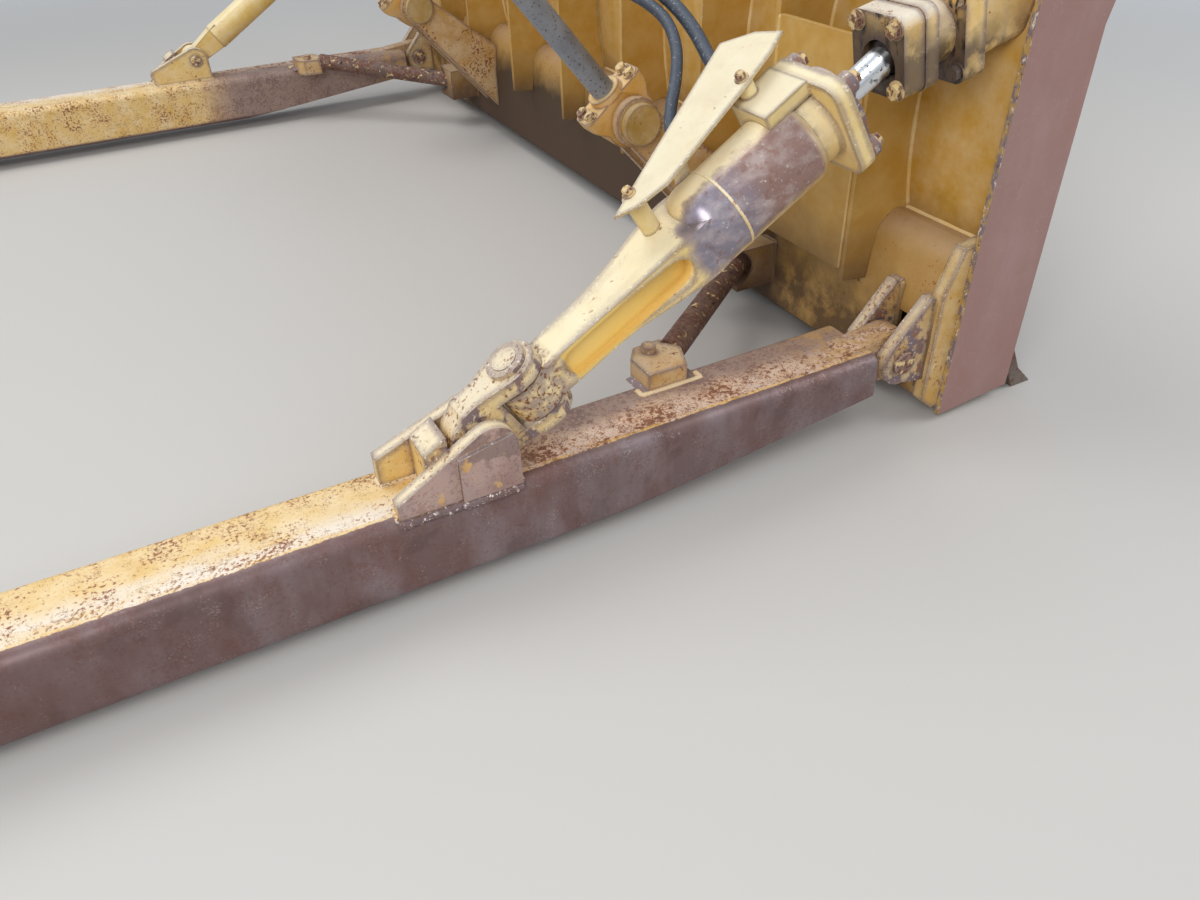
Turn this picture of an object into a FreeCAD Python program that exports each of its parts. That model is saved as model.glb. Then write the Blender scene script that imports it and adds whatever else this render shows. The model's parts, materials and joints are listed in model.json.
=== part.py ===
import FreeCAD
import Part
import math
import os
import Sketcher

# Dozer blade with its push arms, tilt cylinder, screw brace and lift cylinders.
# X points forward, Y to the left, Z up. The origin is the middle of the rear trunnion
# bore of the right push arm, which is the piece that the rest hangs on.

App = FreeCAD
V = App.Vector
doc = App.newDocument("dozer_blade")
sheet = doc.addObject("Spreadsheet::Sheet", "sizes")

# Driving sizes in millimetres and degrees
SIZES = [
    # push arm box beam, from the rear trunnion to the front pin
    ("arm_reach", 2600.0),
    ("arm_wide", 172.0),
    ("arm_tall", 168.0),
    ("arm_round", 26.0),
    ("arm_wall", 18.0),
    ("beam_wall", 16.0),
    ("arm_nose_gap", 73.0),
    ("taper_long", 727.0),
    ("taper_rise", 74.0),
    ("arm_tail_gap", 78.0),
    ("front_pin_rise", 47.0),
    ("front_pin_rad", 27.0),
    ("tip_rad", 56.0),
    ("tip_wide", 60.0),
    ("tip_mid", -19.0),
    # rear trunnion socket
    ("socket_rad", 92.0),
    ("socket_bore", 55.0),
    ("socket_wide", 150.0),
    ("socket_ear", 117.0),
    ("cap_thick", 34.0),
    # lugs on the arm for the cylinder
    ("lug_gap", 74.0),
    ("lug_thick", 28.0),
    ("lug_setback", 915.0),
    ("lug_rise", 160.0),
    ("lug_rad", 46.0),
    ("lug_back", 174.0),
    ("lug_tail", 27.0),
    ("lug_tail_inner", 56.0),
    ("stop_long", 42.0),
    ("stop_back", 111.0),
    ("doubler_thick", 9.0),
    ("tilt_side", -15.0),
    # tilt cylinder, measured along its own axis from the lug pin
    ("ball_back", 87.0),
    ("ball_rise", 669.0),
    ("ball_rad", 44.0),
    ("link_reach", 116.0),
    ("link_pin_rad", 20.0),
    ("fork_pin_rad", 24.0),
    ("fork_gap", 74.0),
    ("fork_ear", 30.0),
    ("eye_rad", 52.0),
    ("shank_tall", 72.0),
    ("shank_wide", 104.0),
    ("tube_rad", 78.0),
    ("tube_long", 300.0),
    ("rod_show", 194.0),
    ("neck_rad", 67.0),
    ("neck_long", 34.0),
    ("flange_side", 184.0),
    ("flange_thick", 30.0),
    ("gland_rad", 74.0),
    ("gland_thick", 34.0),
    ("rod_rad", 26.0),
    ("guard_up", 124.0),
    ("guard_thick", 6.0),
    ("hose_a_rad", 13.0),
    ("hose_b_rad", 11.0),
    # play between faces that move on each other
    ("fit_play", 0.4),
    ("ball_play", 4.6),
    ("stroke_room", 60.0),
    # blade
    ("ground_drop", 120.0),
    ("blade_half", 1600.0),
    ("arm_inset", 115.0),
    ("blade_top", 1080.0),
    ("skin_curve", 930.0),
    ("skin_thick", 14.0),
    ("skin_back", 145.0),
    ("skin_belly", 490.0),
    ("skin_foot", -24.0),
    ("end_thick", 14.0),
    ("end_bar", 30.0),
    ("rib_thick", 16.0),
    ("rib_back", -4.0),
    ("rib_pitch", 386.0),
    ("panel_thick", 12.0),
    ("panel_tall", 470.0),
    ("rib_inset", 248.0),
    ("box_back", 64.0),
    ("box_fold", 150.0),
    ("box_top", 286.0),
    ("box_round", 62.0),
    ("edge_thick", 24.0),
    ("edge_lap", 138.0),
    ("bit_long", 380.0),
    # lugs on the blade for the push arm
    ("yoke_gap", 70.0),
    ("yoke_thick", 30.0),
    ("yoke_rad", 52.0),
    # diagonal brace from the arm to the pin axis
    ("brace_root", 434.0),
    ("brace_side", 418.0),
    ("brace_out", 44.0),
    ("brace_rise", 106.0),
    ("brace_rad", 28.0),
    ("brace_ball", 40.0),
    # housing for the cylinder's ball
    ("seat_wide", 130.0),
    ("seat_tall", 142.0),
    ("seat_round", 22.0),
    ("seat_lean", 13.0),
    ("seat_front", 28.0),
    ("seat_waist", 56.0),
    ("seat_step", 74.0),
    ("seat_flange", 46.0),
    ("cap_deep", 44.0),
    ("cap_edge", 2.0),
    # lift cylinders
    ("lift_side", 772.0),
    ("lift_back", 212.0),
    ("lift_rise", 387.0),
    ("lift_lean", 39.3),
    ("lift_rod_rad", 28.0),
    ("lift_rod_long", 850.0),
    ("lift_pin_rad", 42.0),
    ("lift_head_rad", 68.0),
    ("lift_head_wide", 74.0),
    ("lift_ear", 26.0),
    ("lift_cap_long", 176.0),
    ("lift_cap_deep", 44.0),
    ("lift_disc_rad", 48.0),
    ("lift_gland_at", 690.0),
    ("lift_tube_rad", 62.0),
    ("lift_tube_long", 900.0),
    ("lift_trunnion_at", 980.0),
    ("lift_trunnion_rad", 32.0),
    ("lift_trunnion_long", 62.0),
]

# Lengths that follow from the driving sizes
DERIVED = {
    "arm_to_middle": "(blade_half - arm_inset)",
    "rib_outer": "(blade_half - rib_inset)",
    "lug_reach": "(arm_reach - lug_setback)",
    "tilt_long": "sqrt((lug_setback - ball_back)^2 + (ball_rise - lug_rise)^2)",
    "tube_end": "(tilt_long - rod_show)",
    "shank_end": "(tilt_long - rod_show - tube_long)",
    "rod_start": "(tilt_long - rod_show - tube_long + stroke_room + 20)",
}

for row, (alias, number) in enumerate(SIZES, start=1):
    sheet.set("A%d" % row, alias)
    sheet.set("B%d" % row, str(number))
    sheet.setAlias("B%d" % row, alias)
doc.recompute()


def val(alias):
    """The number in the sheet's cell, or the length worked out from such cells."""
    return float(sheet.evalExpression(named(alias)))


def put(obj, **bound):
    """Binds properties of an object to expressions of the sheet's aliases."""
    for prop, text in bound.items():
        obj.setExpression(prop.replace("__", "."), named(text))
    return obj


def named(text):
    """Writes each alias in an expression with the sheet's name before it."""
    out = []
    word = ""
    for ch in str(text) + " ":
        if ch.isalnum() or ch == "_":
            word += ch
            continue
        if word in DERIVED:
            word = named(DERIVED[word])
        elif word in ALIASES:
            word = "sizes." + word
        out.append(word + ch)
        word = ""
    return "".join(out).strip()


ALIASES = {alias for alias, number in SIZES}
PARTS = []


def keep(obj, label):
    """Marks an object as a piece that is written, under its label."""
    obj.Label = label
    PARTS.append(obj)
    return obj


def body(name):
    """A new design body."""
    return doc.addObject("PartDesign::Body", name)


def plane(of_body, role):
    """One of the body's own origin planes."""
    return [f for f in of_body.Origin.OriginFeatures if f.Role == role][0]


def sketch(of_body, name, role, lift="0"):
    """An empty sketch on an origin plane, lifted along the plane's own normal."""
    sk = of_body.newObject("Sketcher::SketchObject", name)
    sk.AttachmentSupport = [(plane(of_body, role), "")]
    sk.MapMode = "FlatFace"
    sk.setExpression("AttachmentOffset.Base.z", named(lift))
    return sk


def number(text):
    """The value of an expression now, so that a sketch starts near its answer."""
    return float(sheet.evalExpression(named(text)))


def outline(sk, points):
    """A closed outline of straight lines through points given as expressions."""
    spots = [V(number(x), number(y), 0) for x, y in points]
    count = len(points)
    first = sk.GeometryCount
    for i in range(count):
        sk.addGeometry(Part.LineSegment(spots[i], spots[(i + 1) % count]), False)
    for i in range(count):
        nxt = first + (i + 1) % count
        sk.addConstraint(Sketcher.Constraint("Coincident", first + i, 2, nxt, 1))
    for i, (x, y) in enumerate(points):
        bind_at(sk, first + i, x, y, spots[i])
    return sk


def bind_at(sk, geo, x, y, spot):
    """Binds a line's start, from a first value that is already right."""
    i = sk.addConstraint(Sketcher.Constraint("DistanceX", -1, 1, geo, 1, spot.x))
    sk.setExpression("Constraints[%d]" % i, named(x))
    j = sk.addConstraint(Sketcher.Constraint("DistanceY", -1, 1, geo, 1, spot.y))
    sk.setExpression("Constraints[%d]" % j, named(y))


def ring(sk, x, y, rad):
    """A circle with its middle and radius given as expressions."""
    spot = V(number(x), number(y), 0)
    geo = sk.addGeometry(Part.Circle(spot, V(0, 0, 1), number(rad)), False)
    i = sk.addConstraint(Sketcher.Constraint("DistanceX", -1, 1, geo, 3, spot.x))
    sk.setExpression("Constraints[%d]" % i, named(x))
    j = sk.addConstraint(Sketcher.Constraint("DistanceY", -1, 1, geo, 3, spot.y))
    sk.setExpression("Constraints[%d]" % j, named(y))
    k = sk.addConstraint(Sketcher.Constraint("Radius", geo, number(rad)))
    sk.setExpression("Constraints[%d]" % k, named(rad))
    return sk


def pad(of_body, sk, long, name, mid=True):
    """Pads a sketch, to both sides of its plane unless told otherwise."""
    feat = of_body.newObject("PartDesign::Pad", name)
    feat.Profile = sk
    feat.Midplane = mid
    feat.setExpression("Length", named(long))
    sk.Visibility = False
    doc.recompute()
    return feat


def pocket(of_body, sk, long, name):
    """Cuts a sketch to both sides of its plane."""
    before = of_body.Shape.Volume
    feat = of_body.newObject("PartDesign::Pocket", name)
    feat.Profile = sk
    feat.Midplane = True
    feat.setExpression("Length", named(long))
    doc.recompute()
    if not of_body.Shape.Volume < before - 1.0:
        raise ValueError("nothing cut by " + name)
    return feat


def rounds(of_body, edge_names, rad, name):
    """Rounds edges of the body's last feature."""
    last = of_body.Tip
    feat = of_body.newObject("PartDesign::Fillet", name)
    feat.Base = (last, edge_names)
    feat.setExpression("Radius", named(rad))
    doc.recompute()
    return feat


def box(name, x0, y0, z0, dx, dy, dz):
    """A box bound to expressions."""
    obj = doc.addObject("Part::Box", name)
    return put(obj, Placement__Base__x=x0, Placement__Base__y=y0, Placement__Base__z=z0,
               Length=dx, Width=dy, Height=dz)


def rod(name, rad, long, start, direction):
    """A round bar from a start point along a direction."""
    obj = doc.addObject("Part::Cylinder", name)
    put(obj, Radius=rad, Height=long)
    obj.Placement = App.Placement(start, App.Rotation(V(0, 0, 1), direction))
    return obj


def cut(name, base, tool):
    """Base less tool."""
    obj = doc.addObject("Part::Cut", name)
    obj.Base = base
    obj.Tool = tool
    return obj


def fuse(name, shapes):
    """One solid of several that overlap."""
    obj = doc.addObject("Part::MultiFuse", name)
    obj.Shapes = shapes
    obj.Refine = True
    return obj


def mirror(name, source, at="arm_to_middle"):
    """The like piece on the other side of a plane square to Y."""
    obj = doc.addObject("Part::Mirroring", name)
    obj.Source = source
    obj.Normal = V(0, 1, 0)
    obj.setExpression("Base.y", named(at))
    return obj


def set_piece(label, shape, place=None):
    """A piece whose shape is made by hand from the sheet's numbers."""
    obj = doc.addObject("Part::Feature", label)
    obj.Shape = shape
    if place is not None:
        obj.Placement = place
    return keep(obj, label)


def bolt(at, direction, head_rad, head_long, shank=0.0):
    """A hexagon head on a washer, with its underside at the point."""
    turn = App.Rotation(V(0, 0, 1), direction)
    wash = Part.makeCylinder(head_rad * 1.25, head_long * 0.25)
    corners = [V(head_rad * math.cos(math.radians(60 * i)), head_rad * math.sin(math.radians(60 * i)), 0)
               for i in range(7)]
    head = Part.Face(Part.makePolygon(corners)).extrude(V(0, 0, head_long))
    solid = wash.fuse(head)
    if shank:
        solid = solid.fuse(Part.makeCylinder(head_rad * 0.5, shank, V(0, 0, -shank)))
    solid.Placement = App.Placement(at, turn)
    return solid.removeSplitter()


def joined(shapes):
    """Several separate solids kept as one compound."""
    return Part.makeCompound(shapes)


# Places that several pieces share
REACH = val("arm_reach")
PIN_Z = val("front_pin_rise")
LUG_X = val("lug_reach")
LUG_Z = val("lug_rise")
TILT_Y = val("tilt_side")
BALL = V(REACH - val("ball_back"), TILT_Y, val("ball_rise"))
LUG = V(LUG_X, TILT_Y, LUG_Z)
TILT_DIR = (BALL - LUG).normalize()
TILT_ANGLE = math.degrees(math.atan2(TILT_DIR.z, TILT_DIR.x))
TILT_LONG = (BALL - LUG).Length
ARM_HALF_WIDE = val("arm_wide") / 2
ARM_HALF_TALL = val("arm_tall") / 2
SKIN_MID = V(REACH + val("skin_back") + val("skin_curve"), 0, val("skin_belly"))


def along_tilt(distance, side=0.0, up=0.0):
    """A point in the tilt cylinder's own frame: along, to the side and square up."""
    square = V(-TILT_DIR.z, 0, TILT_DIR.x)
    return LUG + TILT_DIR * distance + V(0, side, 0) + square * up


TILT_PLACE = App.Placement(LUG, App.Rotation(V(0, 1, 0), -TILT_ANGLE))

# Right push arm: a welded box beam with rounded outer top edges
arm = body("arm_body")
sk = sketch(arm, "arm_section", "YZ_Plane", "arm_tail_gap")
outline(sk, [("-arm_wide/2", "-arm_tall/2"), ("arm_wide/2", "-arm_tall/2"),
             ("arm_wide/2", "arm_tall/2"), ("-arm_wide/2", "arm_tall/2")])
pad(arm, sk, "arm_reach - arm_nose_gap - arm_tail_gap", "arm_beam", mid=False)
sk = sketch(arm, "arm_tip_side", "XZ_Plane", "-tip_mid")
outline(sk, [("arm_reach - arm_nose_gap - 60", "-arm_tall/2 + taper_rise*0.94"),
             ("arm_reach - arm_nose_gap + 6", "-arm_tall/2 + taper_rise + 4"),
             ("arm_reach + tip_rad*0.25", "front_pin_rise - tip_rad*0.968"),
             ("arm_reach - tip_rad*0.2", "front_pin_rise + tip_rad*0.98"),
             ("arm_reach - arm_nose_gap - 60", "arm_tall/2 + 4")])
pad(arm, sk, "tip_wide", "arm_tip_web")
sk = sketch(arm, "arm_tip_eye", "XZ_Plane", "-tip_mid")
ring(sk, "arm_reach", "front_pin_rise", "tip_rad")
pad(arm, sk, "tip_wide", "arm_tip_boss")
sk = sketch(arm, "arm_tip_bore", "XZ_Plane", "-tip_mid")
ring(sk, "arm_reach", "front_pin_rise", "front_pin_rad + fit_play")
pocket(arm, sk, "tip_wide + 20", "arm_tip_hole")


def edges_at(shape, test):
    """Names of the straight edges whose middle passes a test."""
    names = []
    for i, edge in enumerate(shape.Edges, start=1):
        mid = edge.valueAt((edge.FirstParameter + edge.LastParameter) / 2)
        if test(mid, edge):
            names.append("Edge%d" % i)
    return names


long_edges = edges_at(
    arm.Shape,
    lambda m, e: e.Length > 1500 and abs(abs(m.y) - ARM_HALF_WIDE) < 0.1 and abs(abs(m.z) - ARM_HALF_TALL) < 0.1)
rounds(arm, long_edges, "arm_round", "arm_long_rounds")
sk = sketch(arm, "arm_taper_side", "XZ_Plane", "0")
outline(sk, [("arm_reach - arm_nose_gap - taper_long", "-arm_tall/2"),
             ("arm_reach - arm_nose_gap", "-arm_tall/2 + taper_rise"),
             ("arm_reach", "-arm_tall/2 + taper_rise"), ("arm_reach", "-arm_tall/2 - 30"),
             ("arm_reach - arm_nose_gap - taper_long", "-arm_tall/2 - 30")])
pocket(arm, sk, "arm_wide + 20", "arm_taper")
sk = sketch(arm, "arm_hollow_section", "YZ_Plane", "arm_tail_gap")
outline(sk, [("-arm_wide/2 + arm_wall", "-arm_tall/2 + arm_wall"), ("arm_wide/2 - arm_wall", "-arm_tall/2 + arm_wall"),
             ("arm_wide/2 - arm_wall", "arm_tall/2 - arm_wall"), ("-arm_wide/2 + arm_wall", "arm_tall/2 - arm_wall")])
pocket(arm, sk, "(arm_reach - arm_nose_gap - taper_long - arm_tail_gap)*2", "arm_hollow")
sk = sketch(arm, "nose_hollow_side", "XZ_Plane", "0")
outline(sk, [("arm_reach - arm_nose_gap - taper_long - 2", "-arm_tall/2 + arm_wall"),
             ("arm_reach - arm_nose_gap - 110", "-arm_tall/2 + arm_wall + taper_rise*0.86"),
             ("arm_reach - arm_nose_gap - 110", "arm_tall/2 - arm_wall"),
             ("arm_reach - arm_nose_gap - taper_long - 2", "arm_tall/2 - arm_wall")])
pocket(arm, sk, "arm_wide - arm_wall*2", "nose_hollow")
keep(arm, "right_push_arm")

# Rear trunnion socket: round block on the arm's end, and the cap bolted behind it by four ears
sock = body("socket_body")
sk = sketch(sock, "socket_round_side", "XZ_Plane", "0")
ring(sk, "0", "0", "socket_rad")
pad(sock, sk, "socket_wide", "socket_round")
sk = sketch(sock, "socket_neck_side", "XZ_Plane", "0")
outline(sk, [("0", "-socket_rad*0.9"), ("arm_tail_gap", "-arm_tall/2"),
             ("arm_tail_gap", "arm_tall/2"), ("0", "socket_rad*0.9")])
pad(sock, sk, "socket_wide", "socket_neck")
sk = sketch(sock, "socket_ear_side", "XZ_Plane", "0")
outline(sk, [("0", "-socket_ear"), ("cap_thick*0.8", "-socket_ear"), ("arm_tail_gap - 4", "-arm_tall/2 + 2"),
             ("arm_tail_gap - 4", "arm_tall/2 - 2"), ("cap_thick*0.8", "socket_ear"), ("0", "socket_ear")])
pad(sock, sk, "socket_wide", "socket_ears")
sk = sketch(sock, "socket_split_side", "XZ_Plane", "0")
outline(sk, [("-socket_rad*2", "-socket_rad*2"), ("0.1", "-socket_rad*2"), ("0.1", "socket_rad*2"),
             ("-socket_rad*2", "socket_rad*2")])
pocket(sock, sk, "socket_wide + 20", "socket_split")
sk = sketch(sock, "socket_end_side", "XZ_Plane", "0")
outline(sk, [("arm_tail_gap", "-socket_rad*2"), ("arm_tail_gap*3", "-socket_rad*2"),
             ("arm_tail_gap*3", "socket_rad*2"), ("arm_tail_gap", "socket_rad*2")])
pocket(sock, sk, "socket_wide + 20", "socket_end")
sk = sketch(sock, "socket_bore_side", "XZ_Plane", "0")
ring(sk, "0", "0", "socket_bore")
pocket(sock, sk, "socket_wide + 20", "socket_cut")
keep(sock, "right_trunnion_socket")

cap = body("cap_body")
sk = sketch(cap, "cap_round_side", "XZ_Plane", "0")
ring(sk, "0", "0", "socket_rad")
pad(cap, sk, "socket_wide", "cap_round")
sk = sketch(cap, "cap_ear_side", "XZ_Plane", "0")
outline(sk, [("0", "-socket_ear"), ("0", "socket_ear"), ("-cap_thick", "socket_ear"),
             ("-cap_thick", "-socket_ear")])
pad(cap, sk, "socket_wide", "cap_ears")
sk = sketch(cap, "cap_split_side", "XZ_Plane", "0")
outline(sk, [("-0.1", "-socket_rad*2"), ("socket_rad*2", "-socket_rad*2"), ("socket_rad*2", "socket_rad*2"),
             ("-0.1", "socket_rad*2")])
pocket(cap, sk, "socket_wide + 20", "cap_split")
sk = sketch(cap, "cap_bore_side", "XZ_Plane", "0")
ring(sk, "0", "0", "socket_bore")
pocket(cap, sk, "socket_wide + 20", "cap_cut")
doc.recompute()
cap_bolts = [bolt(V(-val("cap_thick"), sy * val("socket_wide") * 0.3, sz * (val("socket_ear") - 17)), V(-1, 0, 0), 15, 14)
             for sy in (-1, 1) for sz in (-1, 1)]
right_cap = set_piece("right_trunnion_cap", joined([cap.Shape.copy()] + cap_bolts))

# Lugs on top of the right arm, with a stop between them and a doubler that hides the pin
lugs = body("tilt_lug_body")
LUG_OUT = "(lug_gap/2 + lug_thick/2 - tilt_side)"
LUG_IN = "(-lug_gap/2 - lug_thick/2 - tilt_side)"
for tag, shift, tail in (("outer", LUG_OUT, "lug_tail"), ("inner", LUG_IN, "lug_tail_inner")):
    sk = sketch(lugs, "lug_side_" + tag, "XZ_Plane", shift)
    outline(sk, [("lug_reach - lug_back", "arm_tall/2 - 1"),
                 ("lug_reach + lug_rad", "arm_tall/2 - 1"),
                 ("lug_reach + lug_rad", "lug_rise"),
                 ("lug_reach - lug_rad*0.51", "lug_rise + lug_rad*0.86"),
                 ("lug_reach - lug_back", "arm_tall/2 + " + tail)])
    pad(lugs, sk, "lug_thick", "lug_web_" + tag)
    sk = sketch(lugs, "lug_eye_" + tag, "XZ_Plane", shift)
    ring(sk, "lug_reach", "lug_rise", "lug_rad")
    pad(lugs, sk, "lug_thick", "lug_boss_" + tag)
sk = sketch(lugs, "lug_stop_side", "XZ_Plane", "-tilt_side")
outline(sk, [("lug_reach - stop_back", "arm_tall/2 - 1"),
             ("lug_reach - stop_back + stop_long", "arm_tall/2 - 1"),
             ("lug_reach - stop_back + stop_long", "lug_rise + lug_rad*0.76"),
             ("lug_reach - stop_back", "lug_rise + lug_rad*0.24")])
pad(lugs, sk, "lug_gap + 2", "lug_stop")
sk = sketch(lugs, "lug_bore_side", "XZ_Plane", "-tilt_side")
ring(sk, "lug_reach", "lug_rise", "link_pin_rad")
pocket(lugs, sk, "lug_gap*4", "lug_bore")
sk = sketch(lugs, "doubler_side", "XZ_Plane", "lug_gap/2 + lug_thick + doubler_thick/2 - tilt_side - 0.5")
outline(sk, [("lug_reach - lug_rad*1.4", "arm_tall/2 - 1"),
             ("lug_reach + lug_rad*0.96", "arm_tall/2 - 1"),
             ("lug_reach + lug_rad*0.93", "lug_rise + lug_rad*0.36"),
             ("lug_reach + lug_rad*0.74", "lug_rise + lug_rad*0.64"),
             ("lug_reach - lug_rad*1.4", "lug_rise + lug_rad*0.2")])
pad(lugs, sk, "doubler_thick + 1", "doubler")
keep(cut("lugs_on_arm", lugs, arm), "right_tilt_lugs")
doc.recompute()

# Link between the lugs and the cylinder: eye on the lug pin, fork round the cylinder's eye
link = body("link_body")
sk = sketch(link, "link_eye_side", "XZ_Plane", "0")
ring(sk, "0", "0", "lug_rad + 14")
pad(link, sk, "lug_gap - 12", "link_eye")
sk = sketch(link, "link_neck_side", "XZ_Plane", "0")
outline(sk, [("-lug_rad*0.2", "-lug_rad"), ("lug_rad*0.3", "-fork_gap/2 - fork_ear"),
             ("link_reach - eye_rad - 2", "-fork_gap/2 - fork_ear"),
             ("link_reach - eye_rad - 2", "fork_gap/2 + fork_ear"),
             ("0", "fork_gap/2 + fork_ear"), ("-lug_rad*0.7", "lug_rad")])
pad(link, sk, "lug_gap - 12", "link_neck")
for tag, lift in (("upper", "fork_gap/2 + fork_ear/2"), ("lower", "-fork_gap/2 - fork_ear/2")):
    sk = sketch(link, "fork_plan_" + tag, "XY_Plane", lift)
    outline(sk, [("lug_rad*0.92", "-lug_gap/2 + 6"), ("link_reach - eye_rad*0.3", "-eye_rad + 5"),
                 ("link_reach", "-eye_rad + 4"), ("link_reach", "eye_rad - 4"),
                 ("link_reach - eye_rad*0.3", "eye_rad - 5"), ("lug_rad*0.92", "lug_gap/2 - 6")])
    pad(link, sk, "fork_ear", "fork_web_" + tag)
    sk = sketch(link, "fork_round_" + tag, "XY_Plane", lift)
    ring(sk, "link_reach", "0", "eye_rad - 4")
    pad(link, sk, "fork_ear", "fork_boss_" + tag)
sk = sketch(link, "link_bore_side", "XZ_Plane", "0")
ring(sk, "0", "0", "link_pin_rad + fit_play")
pocket(link, sk, "lug_gap*2", "link_bore")
sk = sketch(link, "fork_bore_plan", "XY_Plane", "0")
ring(sk, "link_reach", "0", "fork_pin_rad")
pocket(link, sk, "fork_gap*3", "fork_bore")
link.Placement = TILT_PLACE
keep(link, "tilt_link")

lug_pin = rod("lug_pin_bar", "link_pin_rad", "lug_gap + lug_thick*2 + 6",
              LUG + V(0, 4 - val("lug_gap") / 2 - val("lug_thick"), 0), V(0, 1, 0))
keep(lug_pin, "tilt_lug_pin")

pin_low = along_tilt(val("link_reach"), 0, -val("fork_gap") / 2 - val("fork_ear") - 5)
square_up = V(-TILT_DIR.z, 0, TILT_DIR.x)
fork_bar = rod("fork_bar", "fork_pin_rad", "fork_gap + fork_ear*2 + 16", pin_low, square_up)
fork_cap = rod("fork_cap", "fork_pin_rad + 13", "9",
               along_tilt(val("link_reach"), 0, val("fork_gap") / 2 + val("fork_ear")), square_up)
keep(fuse("fork_pin_solid", [fork_bar, fork_cap]), "fork_pin")

# Tilt cylinder barrel: round tube with a domed rear end, a shank lofted from the dome's
# round section down to the eye, and a neck with the square flange
barrel = body("barrel_body")
sk = sketch(barrel, "tube_section", "YZ_Plane", "shank_end")
ring(sk, "0", "0", "tube_rad")
pad(barrel, sk, "tube_end - neck_long - shank_end", "tube_wall", mid=False)
rear_edge = [n for n in edges_at(barrel.Shape, lambda m, e: abs(m.x - val("shank_end")) < 0.1 and e.Length > 100)]
rounds(barrel, rear_edge, "tube_rad*0.62", "tube_rear_dome")
front_x = val("tube_end") - val("neck_long")
front_edge = [n for n in edges_at(barrel.Shape, lambda m, e: abs(m.x - front_x) < 0.1 and e.Length > 100)]
rounds(barrel, front_edge, "tube_rad*0.26", "tube_front_round")
sk = sketch(barrel, "neck_section", "YZ_Plane", "tube_end - neck_long - 20")
ring(sk, "0", "0", "neck_rad")
pad(barrel, sk, "neck_long + 21", "tube_neck", mid=False)
STATIONS = [("link_reach + eye_rad*0.3", "eye_rad*0.72", "fork_gap/2 - 6"),
            ("link_reach + eye_rad*1.7", "shank_wide*0.38", "shank_tall/2"),
            ("shank_end - tube_rad*1.5", "shank_wide*0.48", "shank_tall/2 + 4"),
            ("shank_end - tube_rad*0.5", "shank_wide*0.58", "shank_tall*0.67"),
            ("shank_end + tube_rad*0.6", "tube_rad*0.78", "tube_rad*0.6")]
sections = []
for k, (at, half, tall) in enumerate(STATIONS):
    sk = sketch(barrel, "shank_section_%d" % k, "YZ_Plane", at)
    outline(sk, [("-" + half, "-(%s)" % tall), (half, "-(%s)" % tall), (half, tall), ("-" + half, tall)])
    sections.append(sk)
loft = barrel.newObject("PartDesign::AdditiveLoft", "shank_loft")
loft.Profile = sections[0]
loft.Sections = sections[1:]
doc.recompute()
sk = sketch(barrel, "eye_plan", "XY_Plane", "0")
ring(sk, "link_reach", "0", "eye_rad")
pad(barrel, sk, "fork_gap - 12", "barrel_eye")
for tag in ("outer", "inner"):
    shift = ("" if tag == "outer" else "-") + "shank_wide*0.56"
    sk = sketch(barrel, "channel_side_" + tag, "XZ_Plane", shift)
    outline(sk, [("link_reach + eye_rad*1.75", "-shank_tall*0.37"), ("shank_end - tube_rad*0.7", "-shank_tall*0.43"),
                 ("shank_end - tube_rad*0.7", "shank_tall*0.43"), ("link_reach + eye_rad*1.75", "shank_tall*0.37")])
    pocket(barrel, sk, "shank_wide*0.62", "channel_" + tag)
    for end, at, rad in (("rear", "link_reach + eye_rad*1.75", "shank_tall*0.37"),
                         ("front", "shank_end - tube_rad*0.7", "shank_tall*0.43")):
        sk = sketch(barrel, "channel_%s_%s" % (end, tag), "XZ_Plane", shift)
        ring(sk, at, "0", rad)
        pocket(barrel, sk, "shank_wide*0.62", "channel_end_%s_%s" % (end, tag))
sk = sketch(barrel, "flange_section", "YZ_Plane", "tube_end")
outline(sk, [("-flange_side/2", "-flange_side/2"), ("flange_side/2", "-flange_side/2"),
             ("flange_side/2", "flange_side/2"), ("-flange_side/2", "flange_side/2")])
flange = pad(barrel, sk, "flange_thick", "tube_flange", mid=False)
HALF_FLANGE = val("flange_side") / 2
corner_edges = edges_at(
    barrel.Shape,
    lambda m, e: abs(abs(m.y) - HALF_FLANGE) < 0.1 and abs(abs(m.z) - HALF_FLANGE) < 0.1)
rounds(barrel, corner_edges, "flange_side*0.16", "flange_corners")
sk = sketch(barrel, "rod_bore_section", "YZ_Plane", "shank_end + 12 + tube_long")
ring(sk, "0", "0", "rod_rad + 4")
pocket(barrel, sk, "tube_long*2", "rod_bore")
sk = sketch(barrel, "eye_bore_plan", "XY_Plane", "0")
ring(sk, "link_reach", "0", "fork_pin_rad + fit_play")
pocket(barrel, sk, "fork_gap*2", "eye_bore")
barrel.Placement = TILT_PLACE
keep(barrel, "tilt_barrel")
doc.recompute()

# Gland plate with four lobes, bolted on the flange
gland_at = val("tube_end") + val("flange_thick")
gland = Part.makeCylinder(val("gland_rad"), val("gland_thick") * 0.6)
gland = gland.fuse(Part.makeCone(val("gland_rad") * 0.86, val("rod_rad") + 16, val("gland_thick")))
lobe = val("flange_side") * 0.36
gland = gland.fuse(Part.makeBox(lobe * 2, lobe * 2, val("gland_thick") * 0.6, V(-lobe, -lobe, 0)))
heads = []
for sy in (-1, 1):
    for sz in (-1, 1):
        gland = gland.fuse(Part.makeCylinder(20, val("gland_thick") * 0.6, V(lobe * sz, lobe * sy, 0)))
        heads.append(bolt(along_tilt(gland_at + val("gland_thick") * 0.6, lobe * sy, lobe * sz), TILT_DIR, 13, 12))
gland = gland.cut(Part.makeCylinder(val("rod_rad") + 0.5, val("gland_thick") * 3, V(0, 0, -10)))
gland = gland.removeSplitter()
gland.Placement = App.Placement(along_tilt(gland_at), App.Rotation(V(0, 0, 1), TILT_DIR))
set_piece("tilt_gland", gland)
set_piece("tilt_gland_bolts", joined(heads))

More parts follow.
